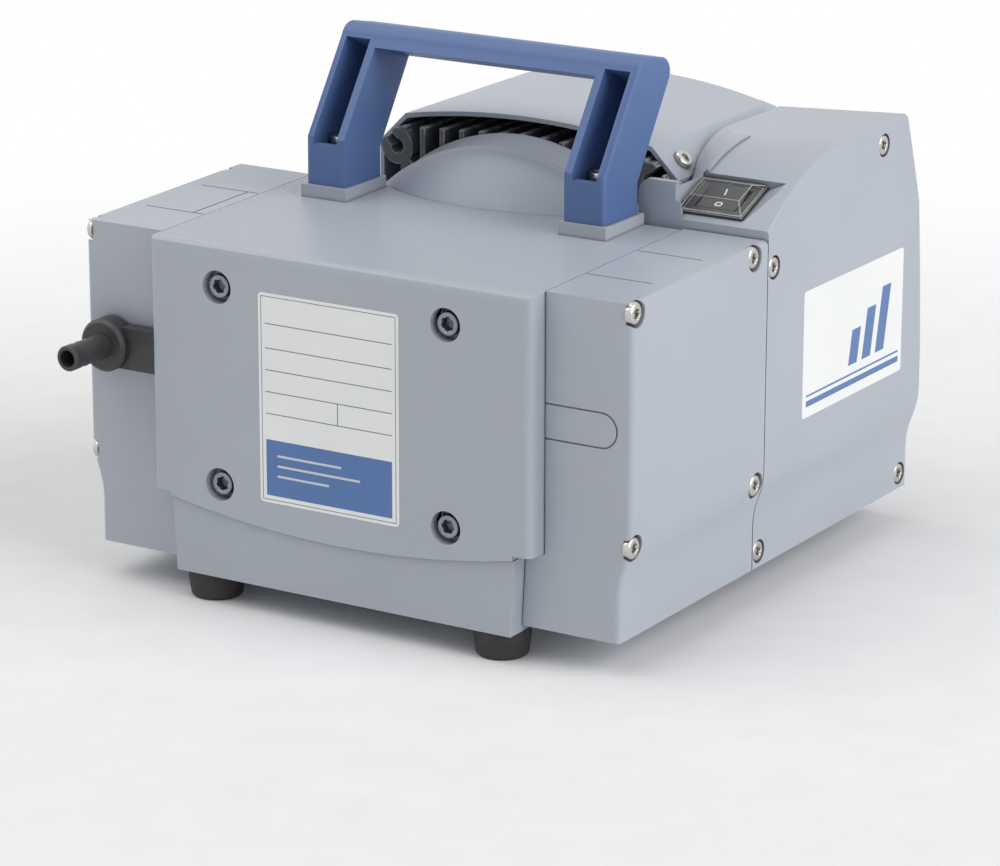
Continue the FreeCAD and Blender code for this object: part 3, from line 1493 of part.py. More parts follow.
def make_pipe(distance):
    # U-shaped pipe under the crank chamber that joins the two heads
    y = back(distance)
    floor = up(pipe_height)
    entry = pipe_entry()
    middle = pipe_bend * (1 - math.sqrt(0.5))
    corner = Vector(pipe_x, y, floor)
    right = [
        Vector(pipe_x - pipe_bend, y, floor), corner + Vector(-middle, 0, middle), Vector(pipe_x, y,
                                                                                          floor + pipe_bend),
        Vector(pipe_x, y, entry),
    ]
    left = [Vector(-point.x, point.y, point.z) for point in right]
    path = Part.Wire([
        Part.makeLine(left[3], left[2]), Part.Arc(left[2], left[1], left[0]).toShape(),
        Part.makeLine(left[0], right[0]), Part.Arc(right[0], right[1], right[2]).toShape(),
        Part.makeLine(right[2], right[3]),
    ])
    ring = Part.Wire([Part.makeCircle(pipe_radius, left[3], Vector(0, 0, 1))])
    hole = Part.Wire([Part.makeCircle(pipe_bore, left[3], Vector(0, 0, 1))])
    return path.makePipeShell([ring], True, False).cut(path.makePipeShell([hole], True, False))


def main():
    os.makedirs("parts", exist_ok=True)
    save("crankcase", make_crankcase())
    save("front_cover", make_front_cover())
    save("cover_seal", make_cover_seal())
    save("front_cover_screws", make_cover_screws())
    for side in side_directions:
        save("head_shell_" + side, make_head_shell(side))
        save("head_plate_" + side, make_head_plate(side))
        save("head_cover_" + side, make_head_cover(side))
        save("diaphragm_" + side, make_diaphragm(side))
        save("clamp_disc_" + side, make_clamp_disc(side))
        save("support_disc_" + side, make_support_disc(side))
        save("connecting_rod_" + side, make_rod(side))
        save("rod_bearing_" + side, make_rod_bearing(side))
    save("head_shell_screws", make_shell_screws())
    save("head_bolts", make_head_bolts())
    save("valve_discs", make_valve_discs())
    save("crankshaft", make_crankshaft())
    save("counterweight", make_counterweight())
    save("main_bearing_front", make_front_bearing())
    save("main_bearing_rear", make_rear_bearing())
    save("motor_housing", make_motor_housing())
    save("stator_core", make_stator_core())
    save("stator_windings", make_windings())
    save("rotor_core", make_rotor())
    save("motor_end_shield", make_end_shield())
    save("motor_tie_bolts", make_tie_bolts())
    save("cooling_fan", make_fan())
    save("motor_shroud", make_shroud())
    save("shroud_screws", make_shroud_screws())
    save("rear_grille", make_rear_grille())
    save("electrics_shell", make_electrics_shell())
    save("electrics_screws", make_electrics_screws())
    save("electrics_panel", make_electrics_panel())
    save("run_capacitor", make_capacitor())
    save("power_inlet", make_power_inlet())
    save("switch_frame", make_switch_frame())
    save("rocker", make_rocker())
    save("switch_cap", make_switch_cap())
    save("handle", make_handle())
    save("handle_screws", make_handle_screws())
    save("feet", make_feet())
    save("foot_screws", make_foot_screws())
    save("base_plate", make_base_plate())
    save("inlet_elbow", make_inlet_elbow())
    save("inlet_nozzle", make_inlet_nozzle())
    save("outlet_elbow", make_outlet_elbow())
    save("outlet_nozzle", make_outlet_nozzle())
    save("inlet_pipe", make_pipe(inlet_pipe))
    save("outlet_pipe", make_pipe(outlet_pipe))


main()
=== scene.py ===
import json
import math

import bmesh
import bpy
from mathutils import Matrix, Vector


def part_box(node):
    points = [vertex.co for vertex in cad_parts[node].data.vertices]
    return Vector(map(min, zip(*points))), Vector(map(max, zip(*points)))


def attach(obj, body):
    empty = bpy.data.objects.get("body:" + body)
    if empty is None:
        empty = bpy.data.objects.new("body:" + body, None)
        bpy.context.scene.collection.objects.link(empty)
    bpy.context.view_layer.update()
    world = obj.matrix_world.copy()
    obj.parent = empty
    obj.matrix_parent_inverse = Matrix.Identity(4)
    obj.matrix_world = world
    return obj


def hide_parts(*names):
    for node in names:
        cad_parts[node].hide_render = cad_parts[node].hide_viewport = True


# Looks of a twin-head diaphragm vacuum pump: finishes, screws, four reworked shapes, labels, switch
# marks, studio. The scene is in metres; sizes in the dictionaries are millimetres unless noted.

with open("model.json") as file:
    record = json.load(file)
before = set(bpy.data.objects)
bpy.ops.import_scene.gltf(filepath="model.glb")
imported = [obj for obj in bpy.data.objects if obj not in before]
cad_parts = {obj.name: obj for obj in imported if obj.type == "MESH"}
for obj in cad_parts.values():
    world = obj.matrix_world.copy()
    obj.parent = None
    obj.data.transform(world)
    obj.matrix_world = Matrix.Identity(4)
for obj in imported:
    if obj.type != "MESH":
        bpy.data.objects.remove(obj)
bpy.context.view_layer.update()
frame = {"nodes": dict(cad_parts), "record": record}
print("frame loaded:", len(frame["nodes"]), "nodes")

mm = 0.001
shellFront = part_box("head_shell_right")[0].y      # front face of the side covers
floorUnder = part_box("feet")[1].z                  # underside of the housing
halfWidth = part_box("head_shell_right")[1].x


def placeAt(x, behind, height):
    # millimetres across, behind the side covers' front and above the housing's underside
    return Vector((x * mm, shellFront + behind * mm, floorUnder + height * mm))


# Camera

cameraSettings = {
    "lens": 154.2, "sensor": 36.0, "clip": (0.05, 40.0),      # clip in metres
    "azimuth": 31.72, "elevation": 16.64, "roll": 0.1,        # degrees
    "distance": 1.6769,                                       # metres from the aim
    "aim": (0.0, 90.0, 70.0),                                 # across, behind, height
    "aimRight": 8.75, "aimUp": -26.82,
}


def makeCamera(settings):
    azimuth = math.radians(settings["azimuth"])
    elevation = math.radians(settings["elevation"])
    backward = Vector((math.sin(azimuth) * math.cos(elevation), -math.cos(azimuth) * math.cos(elevation),
                       math.sin(elevation)))
    right = Vector((math.cos(azimuth), math.sin(azimuth), 0.0))
    upward = backward.cross(right)
    aim = placeAt(*settings["aim"]) + right * settings["aimRight"] * mm + upward * settings["aimUp"] * mm
    data = bpy.data.cameras.new("photoCamera")
    data.lens = settings["lens"]
    data.sensor_width = settings["sensor"]
    data.clip_start, data.clip_end = settings["clip"]
    camera = bpy.data.objects.new("photoCamera", data)
    bpy.context.scene.collection.objects.link(camera)
    turn = Matrix((right, upward, backward)).transposed().to_4x4()
    roll = Matrix.Rotation(math.radians(settings["roll"]), 4, "Z")
    camera.matrix_world = Matrix.Translation(aim + backward * settings["distance"]) @ turn @ roll
    bpy.context.scene.camera = camera


makeCamera(cameraSettings)
print("camera set")


# Node helpers

def linear(red, green, blue):
    # 0-255 as seen on a screen, to the values that a shader takes (the sRGB curve)
    values = [v / 255.0 for v in (red, green, blue)]
    return tuple(v / 12.92 if v < 0.04045 else ((v + 0.055) / 1.055) ** 2.4 for v in values) + (1.0,)


def addNode(tree, kind, **values):
    node = tree.nodes.new(kind)
    for name, value in values.items():
        setattr(node, name, value)
    return node


def setInputs(node, values):
    for name, value in values.items():
        node.inputs[name].default_value = value
    return node


def newGroup(name, inputs, outputs):
    tree = bpy.data.node_groups.new(name, "ShaderNodeTree")
    for label, kind, value in inputs:
        socket = tree.interface.new_socket(name=label, in_out="INPUT", socket_type="NodeSocket" + kind)
        socket.default_value = value
    for label, kind in outputs:
        tree.interface.new_socket(name=label, in_out="OUTPUT", socket_type="NodeSocket" + kind)
    start = addNode(tree, "NodeGroupInput")
    end = addNode(tree, "NodeGroupOutput")
    return tree, start, end


def placeGroup(tree, group, values):
    return setInputs(addNode(tree, "ShaderNodeGroup", node_tree=group), values)


def mathNode(tree, operation, first, second, clamp=False):
    node = addNode(tree, "ShaderNodeMath", operation=operation, use_clamp=clamp)
    for socket, value in zip(node.inputs, (first, second)):
        if isinstance(value, (int, float)):
            socket.default_value = value
        else:
            tree.links.new(value, socket)
    return node.outputs[0]


def mixColours(tree, factor, first, second):
    node = addNode(tree, "ShaderNodeMix", data_type="RGBA")
    sockets = (node.inputs[0], node.inputs[6], node.inputs[7])
    for socket, value in zip(sockets, (factor, first, second)):
        if isinstance(value, bpy.types.NodeSocket):
            tree.links.new(value, socket)
        else:
            socket.default_value = value
    return node.outputs[2]


def mapRange(tree, value, limits, kind="LINEAR"):
    node = setInputs(addNode(tree, "ShaderNodeMapRange", interpolation_type=kind), limits)
    tree.links.new(value, node.inputs["Value"])
    return node.outputs[0]


def objectNoise(tree, start, values):
    # Noise in the object's own coordinates, as fine as the group's input Size says
    place = addNode(tree, "ShaderNodeTexCoord")
    noise = setInputs(addNode(tree, "ShaderNodeTexNoise"), values)
    tree.links.new(place.outputs["Object"], noise.inputs["Vector"])
    tree.links.new(start.outputs["Size"], noise.inputs["Scale"])
    return noise


# Effects that several finishes share. Size is per metre, Width and Reach are metres.

def makeGrain():
    # Fine surface grain: a mask between 0 and 1 and a height for a bump
    tree, start, end = newGroup(
        "surfaceGrain",
        [("Size", "Float", 900.0), ("Detail", "Float", 3.0), ("Sharpness", "Float", 0.5)],
        [("Mask", "Float"), ("Height", "Float")],
    )
    noise = objectNoise(tree, start, {"Roughness": 0.55})
    tree.links.new(start.outputs["Detail"], noise.inputs["Detail"])
    centred = mathNode(tree, "SUBTRACT", noise.outputs["Fac"], 0.5)
    steep = mathNode(tree, "ADD", mathNode(tree, "MULTIPLY", start.outputs["Sharpness"], 4.0), 1.0)
    mask = mathNode(tree, "ADD", mathNode(tree, "MULTIPLY", centred, steep), 0.5, clamp=True)
    tree.links.new(mask, end.inputs["Mask"])
    tree.links.new(noise.outputs["Fac"], end.inputs["Height"])
    return tree


def makeBlotches():
    # Slow change of tone over a surface, as on any large painted or moulded face
    tree, start, end = newGroup(
        "toneBlotches",
        [("Tone", "Color", (0.5, 0.5, 0.5, 1.0)), ("Other Tone", "Color", (0.4, 0.4, 0.4, 1.0)),
         ("Size", "Float", 12.0), ("Share", "Float", 0.5)],
        [("Color", "Color")],
    )
    noise = objectNoise(tree, start, {"Detail": 4.0, "Roughness": 0.6})
    wide = mapRange(tree, noise.outputs["Fac"], {"From Min": 0.32, "From Max": 0.68})
    share = mathNode(tree, "MULTIPLY", wide, start.outputs["Share"])
    tone = mixColours(tree, share, start.outputs["Tone"], start.outputs["Other Tone"])
    tree.links.new(tone, end.inputs["Color"])
    return tree


def makeEdgeWearAndHighlight():
    # Mask of the outer edges, broken up by noise, for lighter edges: partly where paint and plastic get
    # rubbed, partly a painted highlight where edges catch the light
    tree, start, end = newGroup(
        "edgeWearAndHighlight",
        [("Width", "Float", 0.0006), ("Amount", "Float", 0.5), ("Size", "Float", 180.0)],
        [("Mask", "Float")],
    )
    soft = addNode(tree, "ShaderNodeBevel", samples=4)
    tree.links.new(start.outputs["Width"], soft.inputs["Radius"])
    real = addNode(tree, "ShaderNodeNewGeometry")
    dot = addNode(tree, "ShaderNodeVectorMath", operation="DOT_PRODUCT")
    tree.links.new(soft.outputs[0], dot.inputs[0])
    tree.links.new(real.outputs["Normal"], dot.inputs[1])
    bent = mapRange(tree, dot.outputs["Value"], {"From Min": 0.995, "From Max": 0.9})
    noise = objectNoise(tree, start, {"Detail": 3.0})
    broken = mapRange(tree, noise.outputs["Fac"], {"From Min": 0.35, "From Max": 0.65})
    both = mathNode(tree, "MULTIPLY", bent, broken)
    tree.links.new(mathNode(tree, "MULTIPLY", both, start.outputs["Amount"], clamp=True), end.inputs["Mask"])
    return tree


def makeDust():
    # Thin dust on what faces up
    tree, start, end = newGroup(
        "settledDust",
        [("Amount", "Float", 0.1), ("Size", "Float", 60.0)],
        [("Mask", "Float")],
    )
    real = addNode(tree, "ShaderNodeNewGeometry")
    split = addNode(tree, "ShaderNodeSeparateXYZ")
    tree.links.new(real.outputs["Normal"], split.inputs[0])
    upward = mapRange(tree, split.outputs["Z"], {"From Min": 0.4, "From Max": 1.0})
    noise = objectNoise(tree, start, {"Detail": 6.0, "Roughness": 0.7})
    spots = mathNode(tree, "MULTIPLY", noise.outputs["Fac"], start.outputs["Amount"])
    tree.links.new(mathNode(tree, "MULTIPLY", spots, upward, clamp=True), end.inputs["Mask"])
    return tree


def makeCrease():
    # Mask of creases, grooves, seams and sockets, where painted shade darkens the colour
    tree, start, end = newGroup(
        "creasePaintedShade",
        [("Reach", "Float", 0.0012), ("Amount", "Float", 0.5)],
        [("Mask", "Float")],
    )
    near = addNode(tree, "ShaderNodeAmbientOcclusion", samples=4)
    tree.links.new(start.outputs["Reach"], near.inputs["Distance"])
    deep = mapRange(tree, near.outputs["AO"], {"From Min": 0.92, "From Max": 0.3})
    tree.links.new(mathNode(tree, "MULTIPLY", deep, start.outputs["Amount"], clamp=True), end.inputs["Mask"])
    return tree


grainGroup = makeGrain()
blotchGroup = makeBlotches()
wearAndHighlightGroup = makeEdgeWearAndHighlight()
dustGroup = makeDust()
creaseGroup = makeCrease()


# Finishes. tone and other are the two colours of the slow change and blotchSize its size, rubAndHighlight,
# edgeShare and edgeWidth the colour, strength and width of the lighter edges (worn, and a painted
# highlight), gloss the lowest and highest roughness, grain its size, depth its height, dust how much settles
# on top, crease how much painted shade darkens creases, seams and sockets, creaseReach how wide creases may
# be. Sizes are per metre, widths and heights metres.

dustTone = linear(206, 204, 198)
# Colour of the painted shade in creases, seams and sockets
paintedShadeTone = linear(38, 38, 42)
usualReach = 0.0013

# The paints' lighter edge colour is a painted highlight where their edges catch the light
paintFinish = {
    "tone": linear(174, 180, 190), "other": linear(168, 174, 184), "blotchSize": 9.0,
    "rubAndHighlight": linear(190, 195, 203), "edgeShare": 0.5, "edgeWidth": 0.0009, "gloss": (0.34, 0.46),
    "grain": 950.0, "depth": 0.00002, "coat": 0.12, "dust": 0.05, "crease": 0.75,
}

finishes = {
    "shell_paint": paintFinish,
    "body_paint": dict(paintFinish, tone=linear(172, 178, 188), other=linear(165, 171, 181), grain=620.0,
                       depth=0.00004, gloss=(0.38, 0.52)),
    "shroud_paint": dict(paintFinish, tone=linear(175, 181, 191), other=linear(169, 175, 185),
                         grain=1300.0, depth=0.000015, gloss=(0.36, 0.46)),
    "handle_blue": {
        "tone": linear(86, 113, 163), "other": linear(79, 105, 153), "blotchSize": 14.0,
        "rubAndHighlight": linear(112, 138, 182), "edgeShare": 0.45, "edgeWidth": 0.0008, "gloss": (0.42, 0.56),
        "grain": 2200.0, "depth": 0.00003, "dust": 0.06, "crease": 0.35,
    },
    "black_rubber": {
        "tone": linear(46, 43, 45), "other": linear(54, 51, 52), "blotchSize": 40.0,
        "rubAndHighlight": linear(72, 71, 70), "edgeShare": 0.4, "edgeWidth": 0.0006, "gloss": (0.62, 0.8),
        "grain": 1800.0, "depth": 0.00004, "dust": 0.12, "crease": 0.3,
    },
    "black_plastic": {
        "tone": linear(53, 52, 55), "other": linear(60, 58, 60), "blotchSize": 30.0,
        "rubAndHighlight": linear(86, 85, 86), "edgeShare": 0.5, "edgeWidth": 0.0005, "gloss": (0.36, 0.5),
        "grain": 1500.0, "depth": 0.00003, "dust": 0.05, "crease": 0.4,
    },
    "switch_black": {
        "tone": linear(34, 33, 35), "other": linear(40, 38, 39), "blotchSize": 60.0,
        "rubAndHighlight": linear(70, 69, 70), "edgeShare": 0.3, "edgeWidth": 0.0004, "gloss": (0.28, 0.4),
        "grain": 3000.0, "depth": 0.00001, "dust": 0.02, "crease": 0.4,
    },
    # Dark tone for the fins' shaded sides, and a wide bright edge colour as a painted highlight on their
    # front ends
    "cast_aluminium": {
        "tone": linear(104, 105, 109), "other": linear(88, 89, 93), "blotchSize": 35.0,
        "rubAndHighlight": linear(205, 206, 210), "edgeShare": 1.0, "edgeWidth": 0.0014, "gloss": (0.5, 0.72),
        "grain": 1100.0, "depth": 0.00006, "metal": 0.3, "dust": 0.1, "crease": 0.35,
    },
    "bare_aluminium": {
        "tone": linear(196, 198, 201), "other": linear(178, 180, 184), "blotchSize": 25.0,
        "rubAndHighlight": linear(222, 223, 225), "edgeShare": 0.4, "edgeWidth": 0.0004, "gloss": (0.26, 0.42),
        "grain": 2400.0, "depth": 0.00001, "metal": 1.0, "dust": 0.0, "crease": 0.4,
    },
    "steel": {
        "tone": linear(205, 203, 198), "other": linear(184, 180, 172), "blotchSize": 220.0,
        "rubAndHighlight": linear(232, 230, 226), "edgeShare": 0.5, "edgeWidth": 0.0003, "gloss": (0.2, 0.36),
        "grain": 2600.0, "depth": 0.00001, "metal": 1.0, "dust": 0.0, "crease": 0.85,
    },
    # For the cover screws: the wide, strong crease mask paints shade into their sockets and round their sunk
    # seats
    "dark_steel": {
        "tone": linear(150, 153, 160), "other": linear(128, 131, 138), "blotchSize": 200.0,
        "rubAndHighlight": linear(196, 198, 202), "edgeShare": 0.6, "edgeWidth": 0.0003, "gloss": (0.3, 0.46),
        "grain": 2600.0, "depth": 0.00001, "metal": 0.9, "dust": 0.0, "crease": 0.92,
        "creaseReach": 0.003,
    },
    "core_steel": {
        "tone": linear(112, 110, 108), "other": linear(92, 88, 86), "blotchSize": 45.0,
        "rubAndHighlight": linear(170, 168, 165), "edgeShare": 0.4, "edgeWidth": 0.0004, "gloss": (0.42, 0.6),
        "grain": 1700.0, "depth": 0.00002, "metal": 0.9, "dust": 0.0, "crease": 0.4,
    },
    "plate_steel": {
        "tone": linear(176, 177, 176), "other": linear(158, 160, 161), "blotchSize": 60.0,
        "rubAndHighlight": linear(206, 206, 205), "edgeShare": 0.4, "edgeWidth": 0.0005, "gloss": (0.3, 0.5),
        "grain": 1500.0, "depth": 0.00001, "metal": 1.0, "dust": 0.04, "crease": 0.5,
    },
    "pipe_plastic": {
        "tone": linear(214, 213, 204), "other": linear(202, 201, 190), "blotchSize": 40.0,
        "rubAndHighlight": linear(226, 226, 220), "edgeShare": 0.3, "edgeWidth": 0.0004, "gloss": (0.34, 0.5),
        "grain": 1600.0, "depth": 0.00001, "dust": 0.03, "crease": 0.4,
    },
}


def newMaterial(name):
    material = bpy.data.materials.new(name)
    material.use_nodes = True
    tree = material.node_tree
    return material, tree, tree.nodes["Principled BSDF"]


def addGloss(tree, shader, grain, gloss, extra=None):
    # Roughness between two limits by the grain, raised by an extra mask
    low, high = gloss
    rough = mapRange(tree, grain.outputs["Mask"], {"To Min": low, "To Max": high})
    if extra is not None:
        rough = mathNode(tree, "ADD", rough, extra, clamp=True)
    tree.links.new(rough, shader.inputs["Roughness"])


def addBump(tree, shader, height, depth):
    bump = setInputs(addNode(tree, "ShaderNodeBump"), {"Strength": 1.0, "Distance": depth})
    tree.links.new(height, bump.inputs["Height"])
    tree.links.new(bump.outputs[0], shader.inputs["Normal"])


def makeFinish(name, settings):
    material, tree, shader = newMaterial(name)
    blotch = placeGroup(tree, blotchGroup, {
        "Tone": settings["tone"], "Other Tone": settings["other"], "Size": settings["blotchSize"],
        "Share": 0.8,
    })
    edgeMask = placeGroup(tree, wearAndHighlightGroup, {"Width": settings["edgeWidth"], "Amount": settings["edgeShare"]})
    dust = placeGroup(tree, dustGroup, {"Amount": settings["dust"]})
    grain = placeGroup(tree, grainGroup, {"Size": settings["grain"], "Detail": 3.0, "Sharpness": 0.6})
    crease = placeGroup(tree, creaseGroup, {
        "Reach": settings.get("creaseReach", usualReach), "Amount": settings["crease"],
    })
    # Lighter edges (wear and painted highlight), dust on top, then painted shade in creases, seams and
    # sockets
    rubbedAndHighlit = mixColours(tree, edgeMask.outputs["Mask"], blotch.outputs["Color"], settings["rubAndHighlight"])
    dusty = mixColours(tree, dust.outputs["Mask"], rubbedAndHighlit, dustTone)
    tree.links.new(mixColours(tree, crease.outputs["Mask"], dusty, paintedShadeTone), shader.inputs["Base Color"])
    addGloss(tree, shader, grain, settings["gloss"], dust.outputs["Mask"])
    addBump(tree, shader, grain.outputs["Height"], settings["depth"])
    setInputs(shader, {"Metallic": settings.get("metal", 0.0), "Coat Weight": settings.get("coat", 0.0),
                       "Coat Roughness": 0.3})
    return material


windingSettings = {"dark": linear(120, 58, 30), "bright": linear(196, 112, 66), "turns": 260.0,
                   "depth": 0.0003, "metal": 0.8, "gloss": 0.38}


def makeWinding(name, settings):
    # Lacquered copper wire: fine turns round the motor's axis
    material, tree, shader = newMaterial(name)
    place = addNode(tree, "ShaderNodeTexCoord")
    wave = addNode(tree, "ShaderNodeTexWave", wave_type="RINGS", rings_direction="Y")
    setInputs(wave, {"Scale": settings["turns"], "Distortion": 3.0, "Detail": 2.0})
    tree.links.new(place.outputs["Object"], wave.inputs["Vector"])
    tone = mixColours(tree, wave.outputs["Fac"], settings["dark"], settings["bright"])
    tree.links.new(tone, shader.inputs["Base Color"])
    addBump(tree, shader, wave.outputs["Fac"], settings["depth"])
    setInputs(shader, {"Metallic": settings["metal"], "Roughness": settings["gloss"]})
    return material


capSettings = {
    "tone": (0.97, 0.98, 0.98, 1.0), "other": (0.93, 0.95, 0.96, 1.0), "blotchSize": 90.0, "share": 0.6,
    "grain": 500.0, "depth": 0.00002, "gloss": (0.02, 0.07), "index": 1.2,
    "edgeWidth": 0.0004, "edgeShare": 0.6, "rubSize": 60.0,
}


def makeClearCap(name, settings):
    # Clear plastic, duller where it is rubbed
    material, tree, shader = newMaterial(name)
    grain = placeGroup(tree, grainGroup, {"Size": settings["grain"], "Detail": 2.0, "Sharpness": 0.4})
    edgeMask = placeGroup(tree, wearAndHighlightGroup, {
        "Width": settings["edgeWidth"], "Amount": settings["edgeShare"], "Size": settings["rubSize"],
    })
    addGloss(tree, shader, grain, settings["gloss"], edgeMask.outputs["Mask"])
    addBump(tree, shader, grain.outputs["Height"], settings["depth"])
    blotch = placeGroup(tree, blotchGroup, {
        "Tone": settings["tone"], "Other Tone": settings["other"], "Size": settings["blotchSize"],
        "Share": settings["share"],
    })
    tree.links.new(blotch.outputs["Color"], shader.inputs["Base Color"])
    setInputs(shader, {"Transmission Weight": 1.0, "IOR": settings["index"]})
    return material


materials = {name: makeFinish(name, settings) for name, settings in finishes.items()}
materials["copper_wire"] = makeWinding("copper_wire", windingSettings)
materials["clear_cap"] = makeClearCap("clear_cap", capSettings)

slotOfNode = {row["node"]: row["material_slot"] for row in frame["record"]["subparts"]}
for node, thing in frame["nodes"].items():
    thing.data.materials.clear()
    thing.data.materials.append(materials[slotOfNode[node]])
print("finishes on", len(slotOfNode), "nodes")


# Mesh helpers

def meshObject(name, bm, material, body, smoothAngle=None):
    bmesh.ops.recalc_face_normals(bm, faces=bm.faces)
    data = bpy.data.meshes.new(name)
    bm.to_mesh(data)
    bm.free()
    thing = bpy.data.objects.new(name, data)
    bpy.context.scene.collection.objects.link(thing)
    thing.data.materials.append(material)
    if smoothAngle:
        data.shade_smooth()
        data.set_sharp_from_angle(angle=math.radians(smoothAngle))
    if body:
        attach(thing, body)
    return thing


def ringVerts(bm, radius, height, count, lobes=0.0):
    # A level ring in metres; lobes is the share by which its six lobes stand out
    ring = []
    for k in range(count):
        angle = 2 * math.pi * k / count
        reach = radius * (1 + lobes * math.cos(6 * angle))
        ring.append(bm.verts.new((reach * math.cos(angle), reach * math.sin(angle), height)))
    return ring


def bridge(bm, first, second):
    count = len(first)
    for k in range(count):
        bm.faces.new((first[k], first[(k + 1) % count], second[(k + 1) % count], second[k]))


def roundedOutline(width, height, radius, steps=6):
    points = []
    for cornerX, cornerY, turn in ((1, 1, 0), (-1, 1, 90), (-1, -1, 180), (1, -1, 270)):
        for k in range(steps + 1):
            angle = math.radians(turn + 90 * k / steps)
            points.append((cornerX * (width / 2 - radius) + radius * math.cos(angle),
                           cornerY * (height / 2 - radius) + radius * math.sin(angle)))
    return points


def barOutline(x0, x1, y0, y1):
    return [(x1, y1), (x0, y1), (x0, y0), (x1, y0)]


def addPlate(bm, outline, low, high, chamfer, frameOf):
    # A thin plate with a small bevel round its upper edge, in millimetres, put in place by frameOf
    xs = [p[0] for p in outline]
    ys = [p[1] for p in outline]
    halfX, midX = (max(xs) - min(xs)) / 2, (max(xs) + min(xs)) / 2
    halfY, midY = (max(ys) - min(ys)) / 2, (max(ys) + min(ys)) / 2

    def layer(inset, z):
        shareX, shareY = (halfX - inset) / halfX, (halfY - inset) / halfY
        corners = [Vector((midX + (x - midX) * shareX, midY + (y - midY) * shareY, z)) for x, y in outline]
        return [bm.verts.new(frameOf @ (corner * mm)) for corner in corners]

    layers = [layer(0, low), layer(0, high - chamfer), layer(chamfer, high)]
    bm.faces.new(list(reversed(layers[0])))
    for first, second in zip(layers, layers[1:]):
        bridge(bm, first, second)
    bm.faces.new(layers[-1])


# Screws: a head with a six-lobed socket on a shank, set on its seats by Geometry Nodes

screwSizes = ("head", "height", "shank", "length", "socket", "depth", "round")
screwKinds = {
    "cover": dict(zip(screwSizes, (4.6, 4.6, 2.9, 14.0, 2.6, 3.4, 0.6))),
    "shell": dict(zip(screwSizes, (4.3, 2.6, 2.0, 9.0, 1.9, 1.6, 1.3))),
    "shroud": dict(zip(screwSizes, (4.0, 2.4, 1.9, 4.0, 1.8, 1.5, 1.1))),
    "handle": dict(zip(screwSizes, (5.0, 5.0, 2.9, 20.0, 2.6, 2.8, 0.5))),
    "foot": dict(zip(screwSizes, (4.4, 2.6, 2.4, 10.0, 2.0, 1.6, 1.2))),
}
# lobes and taper are shares of the socket's radius, smooth is in degrees
screwForm = {"count": 48, "steps": 4, "lobes": 0.1, "rim": 0.25, "taper": 0.94, "cone": 0.6, "smooth": 38}
screwApart = 12.0      # corners nearer than this belong to one screw


def makeScrewShape(name, size, form):
    # Seat at z = 0, head upwards
    bm = bmesh.new()
    head, top, fillet, socket = size["head"], size["height"], size["round"], size["socket"]
    bottom = top - size["depth"]
    profile = [(size["shank"], -size["length"], 0.0), (size["shank"], 0.0, 0.0), (head, 0.0, 0.0)]
    for k in range(form["steps"] + 1):
        turn = math.radians(90 * k / form["steps"])
        profile.append((head - fillet * (1 - math.cos(turn)), top - fillet * (1 - math.sin(turn)), 0.0))
    profile += [(socket + form["rim"], top, form["lobes"]), (socket, top - form["rim"], form["lobes"]),
                (socket * form["taper"], bottom, form["lobes"])]
    rings = [ringVerts(bm, radius * mm, height * mm, form["count"], lobes)
             for radius, height, lobes in profile]
    for first, second in zip(rings, rings[1:]):
        bridge(bm, first, second)
    bm.faces.new(list(reversed(rings[0])))
    tip = bm.verts.new((0, 0, (bottom - form["cone"]) * mm))
    last = rings[-1]
    for k in range(form["count"]):
        bm.faces.new((last[k], last[(k + 1) % form["count"]], tip))
    return meshObject(name, bm, materials["steel"], None, smoothAngle=form["smooth"])


def makeScrewTree():
    # Points carry the way each screw looks out; every screw gets its own turn
    tree = bpy.data.node_groups.new("screwsOnSeats", "GeometryNodeTree")
    for label, way, kind in (
        ("Geometry", "INPUT", "Geometry"), ("Screw", "INPUT", "Object"), ("Turn", "INPUT", "Float"),
        ("Seed", "INPUT", "Int"), ("Finish", "INPUT", "Material"), ("Geometry", "OUTPUT", "Geometry"),
    ):
        tree.interface.new_socket(name=label, in_out=way, socket_type="NodeSocket" + kind)
    start = addNode(tree, "NodeGroupInput")
    end = addNode(tree, "NodeGroupOutput")
    points = addNode(tree, "GeometryNodeMeshToPoints")
    shape = addNode(tree, "GeometryNodeObjectInfo")
    way = addNode(tree, "GeometryNodeInputNamedAttribute", data_type="FLOAT_VECTOR")
    way.inputs["Name"].default_value = "lookOut"
    align = addNode(tree, "FunctionNodeAlignRotationToVector", axis="Z")
    spin = addNode(tree, "FunctionNodeRandomValue", data_type="FLOAT")
    angle = addNode(tree, "ShaderNodeMath", operation="MULTIPLY")
    spinRotation = addNode(tree, "FunctionNodeAxisAngleToRotation")
    turned = addNode(tree, "FunctionNodeRotateRotation", rotation_space="LOCAL")
    placed = addNode(tree, "GeometryNodeInstanceOnPoints")
    real = addNode(tree, "GeometryNodeRealizeInstances")
    finish = addNode(tree, "GeometryNodeSetMaterial")
    for source, target in (
        (start.outputs["Geometry"], points.inputs["Mesh"]),
        (start.outputs["Screw"], shape.inputs["Object"]),
        (way.outputs["Attribute"], align.inputs["Vector"]),
        (start.outputs["Seed"], spin.inputs["Seed"]),
        (spin.outputs[1], angle.inputs[0]),
        (start.outputs["Turn"], angle.inputs[1]),
        (angle.outputs[0], spinRotation.inputs["Angle"]),
        (align.outputs[0], turned.inputs["Rotation"]),
        (spinRotation.outputs[0], turned.inputs["Rotate By"]),
        (points.outputs[0], placed.inputs["Points"]),
        (shape.outputs["Geometry"], placed.inputs["Instance"]),
        (turned.outputs[0], placed.inputs["Rotation"]),
        (placed.outputs[0], real.inputs[0]),
        (real.outputs[0], finish.inputs["Geometry"]),
        (start.outputs["Finish"], finish.inputs["Material"]),
        (finish.outputs[0], end.inputs["Geometry"]),
    ):
        tree.links.new(source, target)
    return tree


screwTree = makeScrewTree()


